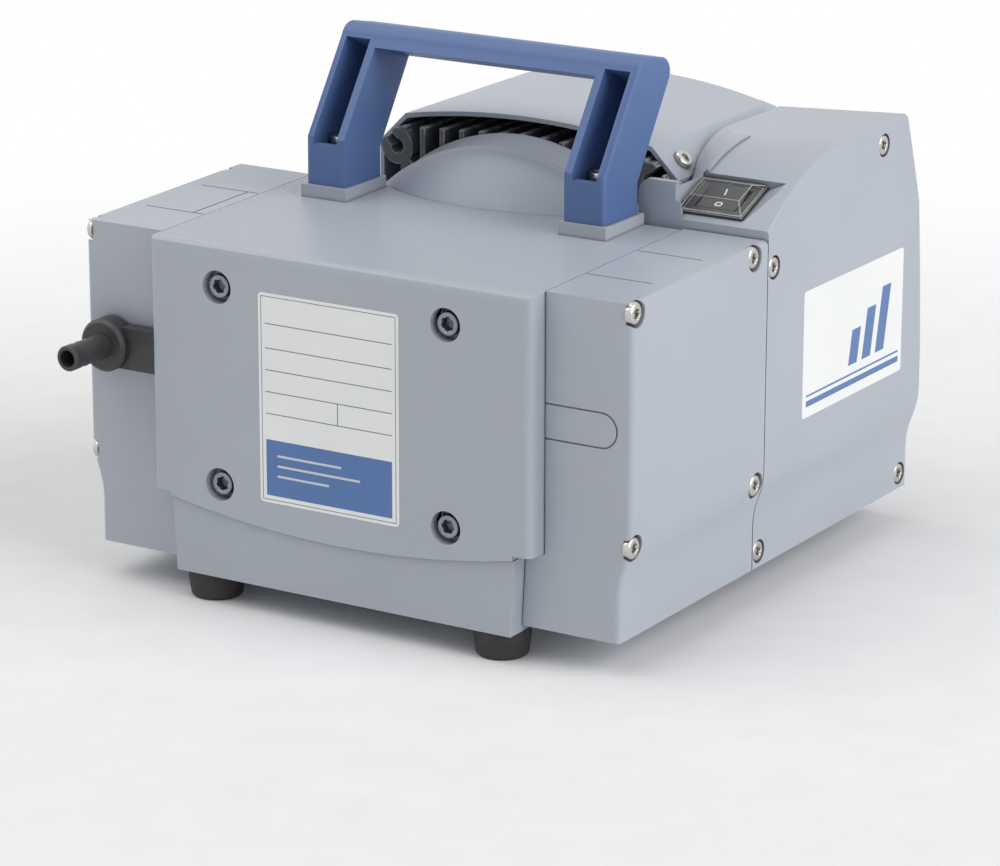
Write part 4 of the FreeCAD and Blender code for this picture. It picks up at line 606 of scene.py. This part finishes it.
def seatsOf(node, lookOut):
    # Tops of a node's screws that look out along lookOut, from the node's own vertices
    groups = []
    for vert in frame["nodes"][node].data.vertices:
        point = vert.co.copy()
        flat = point - lookOut * point.dot(lookOut)
        for group in groups:
            if (group[0][0] - flat).length < screwApart * mm:
                group.append((flat, point))
                break
        else:
            groups.append([(flat, point)])
    seats = []
    for group in groups:
        flats = [item[0] for item in group]
        middle = Vector([(min(f[k] for f in flats) + max(f[k] for f in flats)) / 2 for k in range(3)])
        top = max(item[1].dot(lookOut) for item in group)
        seats.append(middle + lookOut * top)
    return seats


def setScrews(name, node, kind, ways, seed, finish="steel", shift=None):
    # ways: the directions that the node's screws look to, each with its side: 1 right, -1 left, 0 both
    size = screwKinds[kind]
    shape = makeScrewShape(name + "Shape", size, screwForm)
    seats = []
    for direction, side in ways:
        lookOut = Vector(direction).normalized()
        for top in seatsOf(node, lookOut):
            if side == 0 or side * top.x > 0:
                moved = shift(top) if shift else Vector()
                seats.append((top - lookOut * size["height"] * mm + moved, lookOut))
    data = bpy.data.meshes.new(name)
    data.from_pydata([seat for seat, _ in seats], [], [])
    attribute = data.attributes.new("lookOut", "FLOAT_VECTOR", "POINT")
    attribute.data.foreach_set("vector", [value for _, look in seats for value in look])
    thing = bpy.data.objects.new(name, data)
    bpy.context.scene.collection.objects.link(thing)
    modifier = thing.modifiers.new("screws", "NODES")
    modifier.node_group = screwTree
    values = {"Screw": shape, "Turn": 2 * math.pi, "Seed": seed, "Finish": materials[finish]}
    for item in screwTree.interface.items_tree:
        if item.in_out == "INPUT" and item.name in values:
            modifier[item.identifier] = values[item.name]
    bpy.context.view_layer.update()
    result = bpy.data.meshes.new_from_object(thing.evaluated_get(bpy.context.evaluated_depsgraph_get()))
    thing.modifiers.clear()
    thing.data = result
    result.name = name
    bpy.data.objects.remove(shape)
    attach(thing, "frame")
    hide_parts(node)
    print(name, len(seats), "screws,", len(result.polygons), "faces")


coverHoles = {"left": -53.6, "right": 48.2, "reach": 6.9}     # across, and round each hole's axis


def coverShift(place):
    across = coverHoles["right"] if place.x > 0 else coverHoles["left"]
    return Vector((across * mm - place.x, 0, 0))


setScrews("coverScrews", "front_cover_screws", "cover", [((0, -1, 0), 0)], 3, "dark_steel", coverShift)
setScrews("shellScrews", "head_shell_screws", "shell", [((1, 0, 0), 1), ((-1, 0, 0), -1)], 5)
setScrews("electricsScrews", "electrics_screws", "shell", [((1, 0, 0), 0)], 7)
setScrews("shroudScrews", "shroud_screws", "shroud", [((1, 0, 1), 1), ((-1, 0, 1), -1)], 11)
setScrews("handleScrews", "handle_screws", "handle", [((0, 0, 1), 0)], 13)
setScrews("footScrews", "foot_screws", "foot", [((0, 0, -1), 0)], 17)
print("screws set")


# Front cover with its screw holes, handle with its pockets, the dome's front and the shell's top

def copyOfNode(node):
    bm = bmesh.new()
    bm.from_mesh(frame["nodes"][node].data)
    bmesh.ops.remove_doubles(bm, verts=bm.verts, dist=1e-6)
    bm.normal_update()
    return bm


samePlane = {"way": 0.002, "level": 2e-5}      # how far normals and levels (metres) of a flat face differ


def liesIn(face, normal, level):
    near = (face.normal - normal).length < samePlane["way"]
    return near and abs(face.normal.dot(face.verts[0].co) - level) < samePlane["level"]


def slideCorners(bm, moves):
    # Moves vertices within their flat faces, and fills those faces anew
    planes = []
    for face in bm.faces:
        if 0 < sum(vert in moves for vert in face.verts) < len(face.verts):
            if not any(liesIn(face, normal, level) for normal, level, _ in planes):
                planes.append((face.normal.copy(), face.normal.dot(face.verts[0].co), []))
    for face in bm.faces:
        for normal, level, members in planes:
            if liesIn(face, normal, level):
                members.append(face)
                break
    rims = []
    inner = set()
    for _, _, members in planes:
        inside = set(members)
        edges = {edge for face in members for edge in face.edges}
        rims.append([edge for edge in edges if any(face not in inside for face in edge.link_faces)])
        inner |= edges - set(rims[-1])
    bmesh.ops.delete(bm, geom=[face for _, _, members in planes for face in members], context="FACES_ONLY")
    bmesh.ops.delete(bm, geom=list(inner), context="EDGES")
    for vert, move in moves.items():
        vert.co += move
    for rim in rims:
        rim.sort(key=lambda edge: tuple(round(value, 6) for vert in edge.verts for value in vert.co))
        bmesh.ops.triangle_fill(bm, use_beauty=True, edges=rim)


flatFaces = {"square": 0.9999, "large": 60e-6, "smooth": 30}      # large in square metres, smooth in degrees


def finishCopy(bm, name, node, finish):
    # Large faces and those square to an axis stay flat, the small ones round the edges look smooth
    bm.normal_update()
    smooth = [max(abs(value) for value in face.normal) <= flatFaces["square"]
              and face.calc_area() <= flatFaces["large"] for face in bm.faces]
    print(name, "open edges:", sum(len(edge.link_faces) != 2 for edge in bm.edges))
    thing = meshObject(name, bm, materials[finish], "frame", smoothAngle=flatFaces["smooth"])
    thing.data.polygons.foreach_set("use_smooth", smooth)
    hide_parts(node)


def makeFrontCover(holes):
    # Each screw hole slides sideways with its sunk seat
    bm = copyOfNode("front_cover")
    moves = {}
    for seat in seatsOf("front_cover_screws", Vector((0, -1, 0))):
        for vert in bm.verts:
            if math.hypot(vert.co.x - seat.x, vert.co.z - seat.z) < holes["reach"] * mm:
                moves[vert] = coverShift(seat)
    slideCorners(bm, moves)
    finishCopy(bm, "frontCover", "front_cover", "shell_paint")


# rise is backwards and up; the rest says where the pockets' upper corners are in the handle
handlePockets = {"rise": (1.85, 2.75), "behind": 22.35, "slack": 0.4, "under": 9.0, "across": (52.5, 64.8)}


def makeHandle(pockets):
    # The pockets of the legs reach further up into the bar, along the legs' leaning front
    bm = copyOfNode("handle")
    low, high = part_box("handle")
    depth = low.y + pockets["behind"] * mm
    inner, outer = pockets["across"]
    backward, upward = pockets["rise"]
    moves = {vert: Vector((0, backward * mm, upward * mm)) for vert in bm.verts
             if abs(vert.co.y - depth) < pockets["slack"] * mm
             and vert.co.z > high.z - pockets["under"] * mm
             and inner * mm < abs(vert.co.x) < outer * mm}
    print("pocket corners raised:", len(moves))
    slideCorners(bm, moves)
    finishCopy(bm, "carryHandle", "handle", "handle_blue")


# The dome's front slope up to its rounded crest; reach is degrees to each side, the profile holds
# places behind and radii
domeRim = {"axis": 77.0, "reach": 58.0, "steps": 72, "smooth": 50,
           "profile": [(84.5, 50.0), (86.0, 54.2), (89.5, 60.2), (93.5, 66.4), (97.0, 71.0), (100.0, 74.2),
                       (102.4, 76.0), (104.4, 76.9), (106.2, 77.0), (107.6, 76.6), (109.2, 75.6),
                       (110.6, 74.4), (110.6, 50.0)]}


def makeDomeRim(rim):
    bm = bmesh.new()
    sections = []
    for k in range(rim["steps"] + 1):
        angle = math.radians(-rim["reach"] + 2 * rim["reach"] * k / rim["steps"])
        across, upward = math.sin(angle), math.cos(angle)
        sections.append([bm.verts.new(placeAt(radius * across, behind, rim["axis"] + radius * upward))
                         for behind, radius in rim["profile"]])
    for first, second in zip(sections, sections[1:]):
        bridge(bm, first, second)
    bm.faces.new(sections[0])
    bm.faces.new(list(reversed(sections[-1])))
    meshObject("domeRim", bm, materials["body_paint"], "frame", smoothAngle=rim["smooth"])


shellFill = {"radius": 4.8, "slack": 0.12, "above": 1.0, "count": 48, "smooth": 12}


def makeShellFill(size):
    # The shell's top is closed above the head of the rear shroud screw, which has its hollow under it
    lookOut = Vector((1, 0, 1)).normalized()
    seats = [seat for seat in seatsOf("shroud_screws", lookOut) if seat.x > 0]
    place = max(seats, key=lambda seat: seat.y)
    shell = copyOfNode("electrics_shell")
    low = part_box("electrics_shell")[0]

    def offWall(vert):
        out = vert.co - place
        return abs((out - lookOut * out.dot(lookOut)).length - size["radius"] * mm)

    wall = {face for face in shell.faces if all(offWall(vert) < size["slack"] * mm for vert in face.verts)}
    edges = [edge for face in wall for edge in face.edges
             if any(other not in wall for other in edge.link_faces)]
    points = {tuple(vert.co) for edge in edges for vert in edge.verts
              if (vert.co - place).dot(lookOut) > size["above"] * mm}
    across = Vector((-1, 0, 1)).normalized()
    for k in range(size["count"]):
        turn = 2 * math.pi * k / size["count"]
        out = Vector((0, math.cos(turn), 0)) + across * math.sin(turn)
        point = place + lookOut * size["above"] * mm + size["radius"] * mm * out
        if point.x >= low.x:
            points.add(tuple(point))
    shell.free()
    bm = bmesh.new()
    for point in sorted(points):
        bm.verts.new(point)
    result = bmesh.ops.convex_hull(bm, input=bm.verts)
    inner = [item for item in result["geom_interior"] if isinstance(item, bmesh.types.BMVert)]
    bmesh.ops.delete(bm, geom=inner, context="VERTS")
    paint = materials["shell_paint"]
    meshObject("shellTopFill", bm, paint, "frame", smoothAngle=size["smooth"])


makeFrontCover(coverHoles)
makeHandle(handlePockets)
makeDomeRim(domeRim)
makeShellFill(shellFill)
print("cover, handle, dome front and shell top made")


# Printed films and inks, and the colour of the cap's painted highlights

films = {
    "labelFilm": {"tone": linear(240, 241, 240), "other": linear(232, 234, 235), "gloss": (0.28, 0.42)},
    "labelInk": {"tone": linear(104, 108, 112), "other": linear(104, 108, 112), "gloss": (0.34, 0.48)},
    "labelBlue": {"tone": linear(86, 122, 178), "other": linear(80, 114, 168), "gloss": (0.32, 0.46)},
    "labelPale": {"tone": linear(206, 210, 214), "other": linear(206, 210, 214), "gloss": (0.32, 0.46)},
    # Colour of the painted highlights along the clear cap's edges
    "capHighlightColour": {"tone": linear(214, 213, 209), "other": linear(190, 188, 183), "gloss": (0.2, 0.34)},
}
filmSurface = {"blotchSize": 30.0, "share": 0.7, "grain": 1800.0, "depth": 0.00001}


def makeFilm(name, settings, surface):
    material, tree, shader = newMaterial(name)
    blotch = placeGroup(tree, blotchGroup, {
        "Tone": settings["tone"], "Other Tone": settings["other"], "Size": surface["blotchSize"],
        "Share": surface["share"],
    })
    grain = placeGroup(tree, grainGroup, {"Size": surface["grain"], "Detail": 2.0, "Sharpness": 0.4})
    tree.links.new(blotch.outputs["Color"], shader.inputs["Base Color"])
    addGloss(tree, shader, grain, settings["gloss"])
    addBump(tree, shader, grain.outputs["Height"], surface["depth"])
    return material


materials.update({name: makeFilm(name, settings, filmSurface) for name, settings in films.items()})


# Labels: plain printed film, no words

printing = {"filmEdge": 0.04, "ink": 0.02, "inkEdge": 0.005, "sunk": 0.01}

# rules are heights above the label's lower margin, lines their heights and shares of the block's width
frontLabel = {
    "across": -3.4, "middle": 75.9, "width": 62.6, "height": 82.0, "corner": 1.6, "film": 0.12,
    "margin": 3.0, "frame": 1.2, "frameLine": 0.28, "rules": [67.0, 57.5, 49.0, 40.5, 32.0], "rule": 0.35,
    "divider": (4.0, 8.5), "block": 22.0, "indent": 5.0, "line": 0.9,
    "lines": [(15.5, 0.62), (11.5, 0.8), (7.5, 0.5)],
}
sideLabel = {
    "start": 131.5, "end": 216.0, "low": 56.0, "high": 106.9, "corner": 1.6, "film": 0.1, "margin": 3.0,
    "stripes": [(4.2, 2.4), (8.2, 0.8)],
    "bars": [(38.0, 14.0), (49.5, 20.0), (61.0, 26.0)], "barWidth": 7.4, "barFoot": 12.5, "lean": 0.22,
}


def printFilm(name, width, height, size, facing):
    bm = bmesh.new()
    outline = roundedOutline(width, height, size["corner"])
    addPlate(bm, outline, 0.0, size["film"], printing["filmEdge"], facing)
    meshObject(name, bm, materials["labelFilm"], "frame")


def printInk(name, outlines, size, facing, ink, raised=0.0):
    bm = bmesh.new()
    low, high = size["film"] - printing["sunk"], size["film"] + printing["ink"] + raised
    for outline in outlines:
        addPlate(bm, outline, low, high, printing["inkEdge"], facing)
    meshObject(name, bm, materials[ink], "frame")


def makeFrontLabel(size):
    centre = Vector((size["across"] * mm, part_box("front_cover")[0].y, floorUnder + size["middle"] * mm))
    facing = Matrix.Translation(centre) @ Matrix(((1, 0, 0), (0, 0, -1), (0, 1, 0))).to_4x4()
    printFilm("frontLabelFilm", size["width"], size["height"], size, facing)
    halfX = size["width"] / 2 - size["margin"]
    foot = size["margin"] - size["height"] / 2
    rule, edge = size["rule"], size["frameLine"]
    bars = [barOutline(-halfX, halfX, foot + y, foot + y + rule) for y in size["rules"]]
    frameX, frameY = size["width"] / 2 - size["frame"], size["height"] / 2 - size["frame"]
    bars += [barOutline(-frameX, frameX, frameY - edge, frameY),
             barOutline(-frameX, frameX, -frameY, edge - frameY),
             barOutline(-frameX, edge - frameX, edge - frameY, frameY - edge),
             barOutline(frameX - edge, frameX, edge - frameY, frameY - edge)]
    across, drop = size["divider"]
    top = foot + size["rules"][-2]
    bars.append(barOutline(across, across + rule, top - drop, top))
    printInk("frontLabelRules", bars, size, facing, "labelInk")
    block = barOutline(-halfX, halfX, foot, foot + size["block"])
    printInk("frontLabelBlock", [block], size, facing, "labelBlue")
    left = size["indent"] - halfX
    lines = [barOutline(left, left - 2 * left * share, foot + y, foot + y + size["line"])
             for y, share in size["lines"]]
    printInk("frontLabelLines", lines, size, facing, "labelPale", raised=printing["sunk"])


def makeSideLabel(size):
    width = size["end"] - size["start"]
    height = size["high"] - size["low"]
    centre = placeAt(0, (size["start"] + size["end"]) / 2, (size["low"] + size["high"]) / 2)
    centre.x = halfWidth
    facing = Matrix.Translation(centre) @ Matrix(((0, 0, 1), (1, 0, 0), (0, 1, 0))).to_4x4()
    printFilm("sideLabelFilm", width, height, size, facing)
    halfX = width / 2 - size["margin"]
    shapes = [barOutline(-halfX, halfX, y - height / 2, y - height / 2 + thick)
              for y, thick in size["stripes"]]
    wide, y = size["barWidth"], size["barFoot"] - height / 2
    for at, tall in size["bars"]:
        x, lean = at - width / 2, size["lean"] * tall
        shapes.append([(x + wide + lean, y + tall), (x + lean, y + tall), (x, y), (x + wide, y)])
    printInk("sideLabelStripes", shapes, size, facing, "labelBlue")


makeFrontLabel(frontLabel)
makeSideLabel(sideLabel)
print("labels on")


# Switch marks: a bar and a ring on the rocker, which rests with its front half down

# low and high are the seat's ends, behind and height; the rest is measured from the seat
switchSeat = {"x": 95.0, "low": (103.8, 138.7), "high": (124.8, 147.0), "flange": 1.2, "rise": 0.9,
              "vee": 1.2, "half": 6.3, "pivot": -1.0, "tilt": 8.0}
switchMarks = {"bar": (0.6, 2.9), "ring": 1.6, "line": 0.6, "count": 40, "reach": 3.3, "thick": 0.06,
               "sunk": 0.03, "edge": 0.01}


def seatPlane(seat):
    # Middle of the seat and the angle by which it leans back
    (y0, z0), (y1, z1) = seat["low"], seat["high"]
    return placeAt(seat["x"], (y0 + y1) / 2, (z0 + z1) / 2), math.atan2(z1 - z0, y1 - y0)


def rockerFaces(seat, reach):
    # Matrices that lie on the rear and front half of the rocker's top at rest, x across and y up the slope
    middle, slope = seatPlane(seat)
    pivot = Matrix.Translation(Vector((0, 0, seat["pivot"] * mm)))
    tilted = pivot @ Matrix.Rotation(math.radians(seat["tilt"]), 4, "X") @ pivot.inverted()
    panel = Matrix.Translation(middle) @ Matrix.Rotation(slope, 4, "X") @ tilted
    ridge = Matrix.Translation(Vector((0, 0, (seat["flange"] + seat["rise"] - seat["vee"]) * mm)))
    lean = math.atan2(seat["vee"], seat["half"])
    halves = []
    for sign in (1, -1):
        along = Matrix.Translation(Vector((0, sign * reach * mm, 0)))
        halves.append(panel @ ridge @ Matrix.Rotation(sign * lean, 4, "X") @ along)
    return halves


def makeSwitchMarks(marks):
    rear, front = rockerFaces(switchSeat, marks["reach"])
    wide, long = marks["bar"]
    low, high = -marks["sunk"], marks["thick"]
    bm = bmesh.new()
    addPlate(bm, barOutline(-wide / 2, wide / 2, -long / 2, long / 2), low, high, marks["edge"], rear)
    meshObject("onMark", bm, materials["labelFilm"], "rocker")
    bm = bmesh.new()
    outer, inner = marks["ring"], marks["ring"] - marks["line"]
    rings = [ringVerts(bm, radius * mm, height * mm, marks["count"])
             for radius, height in ((outer, low), (outer, high), (inner, high), (inner, low))]
    for first, second in zip(rings, rings[1:] + rings[:1]):
        bridge(bm, first, second)
    bm.transform(front)
    meshObject("offMark", bm, materials["labelFilm"], "rocker")


# Painted highlight lines along the cap's edges: half is the lines' half thickness, bend the least turn in
# degrees at an edge that gets one
capLines = {"half": 0.13, "bend": 25.0, "above": 1.0, "shortest": 0.8}


def makeCapPaintedHighlights(size):
    # Painted highlights: bright lines along the clear cap's outer edges, where the moulding catches the
    # light
    cap = copyOfNode("switch_cap")
    seat, slope = seatPlane(switchSeat)
    upward = Vector((0, -math.sin(slope), math.cos(slope)))
    bm = bmesh.new()
    half = size["half"] * mm
    for edge in cap.edges:
        ends = [vert.co for vert in edge.verts]
        along = ends[1] - ends[0]
        if len(edge.link_faces) != 2 or not edge.is_convex or along.length < size["shortest"] * mm:
            continue
        if math.degrees(edge.calc_face_angle()) < size["bend"]:
            continue
        if min((end - seat).dot(upward) for end in ends) < size["above"] * mm:
            continue
        along.normalize()
        side = (edge.link_faces[0].normal + edge.link_faces[1].normal).normalized()
        cross = along.cross(side)
        rings = [[bm.verts.new(end + half * (reach * along + side * a + cross * b))
                  for a, b in ((1, 0), (0, 1), (-1, 0), (0, -1))]
                 for end, reach in zip(ends, (-1, 1))]
        bridge(bm, *rings)
        bm.faces.new(rings[0])
        bm.faces.new(list(reversed(rings[1])))
    cap.free()
    print("cap lines:", len(bm.faces) // 6)
    meshObject("capLines", bm, materials["capHighlightColour"], "frame")


makeSwitchMarks(switchMarks)
makeCapPaintedHighlights(capLines)
print("switch marks on")


# Contact blades of the mains inlet, bright over the moulded pins

bladeSettings = {"x": 95.0, "z": 53.0, "places": [(-7.0, -2.0), (0.0, 2.0), (7.0, -2.0)],
                 "half": (1.03, 2.03), "corner": 0.35, "steps": 3, "tip": 0.5, "reach": 9.0, "depth": 14.9}


def makeBlades(size):
    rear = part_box("power_inlet")[1].y
    halfX, halfZ = size["half"]
    outline = roundedOutline(2 * halfX, 2 * halfZ, size["corner"], size["steps"])
    bm = bmesh.new()
    for across, height in size["places"]:
        centre = placeAt(size["x"] + across, 0, size["z"] + height)
        centre.y = rear - size["depth"] * mm
        facing = Matrix.Translation(centre) @ Matrix(((-1, 0, 0), (0, 0, 1), (0, 1, 0))).to_4x4()
        addPlate(bm, outline, 0.0, size["reach"], size["tip"], facing)
    meshObject("inletBlades", bm, materials["steel"], "frame")


makeBlades(bladeSettings)
print("inlet blades on")


# Studio: pale floor that fades to white, soft light from the right and above

# floorReach and the fade's two distances are metres
studio = {
    "world": 0.38, "worldTint": (0.985, 0.99, 1.0, 1.0), "white": (1.0, 1.0, 1.0, 1.0),
    "floorTone": linear(246, 246, 246), "floorOther": linear(241, 241, 241), "floorReach": 6.0,
    "fade": (0.28, 0.75),
    "rightLight": {"energy": 1.7, "angle": 50.0, "from": (1.0, 0.05, 0.55)},
    "topLight": {"energy": 1.1, "angle": 60.0, "from": (-0.45, -0.3, 1.0)},
}


def makeWorld(settings):
    # Pale surroundings for the light, plain white where they are seen or mirrored
    world = bpy.data.worlds.new("studioWorld")
    world.use_nodes = True
    tree = world.node_tree
    background = tree.nodes["Background"]
    seen = addNode(tree, "ShaderNodeBackground")
    setInputs(background, {"Color": settings["worldTint"], "Strength": settings["world"]})
    setInputs(seen, {"Color": settings["white"], "Strength": 1.0})
    rays = addNode(tree, "ShaderNodeLightPath")
    direct = mathNode(tree, "ADD", rays.outputs["Is Camera Ray"], rays.outputs["Is Glossy Ray"])
    share = mathNode(tree, "ADD", direct, rays.outputs["Is Transmission Ray"], clamp=True)
    mix = addNode(tree, "ShaderNodeMixShader")
    tree.links.new(share, mix.inputs[0])
    tree.links.new(background.outputs[0], mix.inputs[1])
    tree.links.new(seen.outputs[0], mix.inputs[2])
    tree.links.new(mix.outputs[0], tree.nodes["World Output"].inputs["Surface"])
    bpy.context.scene.world = world


def makeFloor(settings):
    material, tree, shader = newMaterial("studioFloor")
    grain = placeGroup(tree, grainGroup, {"Size": 40.0, "Detail": 2.0, "Sharpness": 0.2})
    tone = mixColours(tree, grain.outputs["Mask"], settings["floorTone"], settings["floorOther"])
    tree.links.new(tone, shader.inputs["Base Color"])
    shader.inputs["Roughness"].default_value = 0.7
    place = addNode(tree, "ShaderNodeTexCoord")
    distance = addNode(tree, "ShaderNodeVectorMath", operation="LENGTH")
    tree.links.new(place.outputs["Object"], distance.inputs[0])
    near, far = settings["fade"]
    fade = mapRange(tree, distance.outputs["Value"], {"From Min": near, "From Max": far}, "SMOOTHSTEP")
    rays = addNode(tree, "ShaderNodeLightPath")
    share = mathNode(tree, "MULTIPLY", fade, rays.outputs["Is Camera Ray"])
    white = addNode(tree, "ShaderNodeEmission")
    mix = addNode(tree, "ShaderNodeMixShader")
    tree.links.new(share, mix.inputs[0])
    tree.links.new(shader.outputs[0], mix.inputs[1])
    tree.links.new(white.outputs[0], mix.inputs[2])
    tree.links.new(mix.outputs[0], tree.nodes["Material Output"].inputs["Surface"])
    bm = bmesh.new()
    bmesh.ops.create_grid(bm, x_segments=8, y_segments=8, size=settings["floorReach"])
    meshObject("studioFloor", bm, material, None)


def makeSun(name, settings):
    data = bpy.data.lights.new(name, "SUN")
    data.energy = settings["energy"]
    data.angle = math.radians(settings["angle"])
    lamp = bpy.data.objects.new(name, data)
    bpy.context.scene.collection.objects.link(lamp)
    lamp.rotation_euler = Vector(settings["from"]).normalized().to_track_quat("Z", "Y").to_euler()


makeWorld(studio)
makeFloor(studio)
makeSun("rightLight", studio["rightLight"])
makeSun("topLight", studio["topLight"])
bpy.context.scene.view_settings.view_transform = "Standard"
print("studio ready")
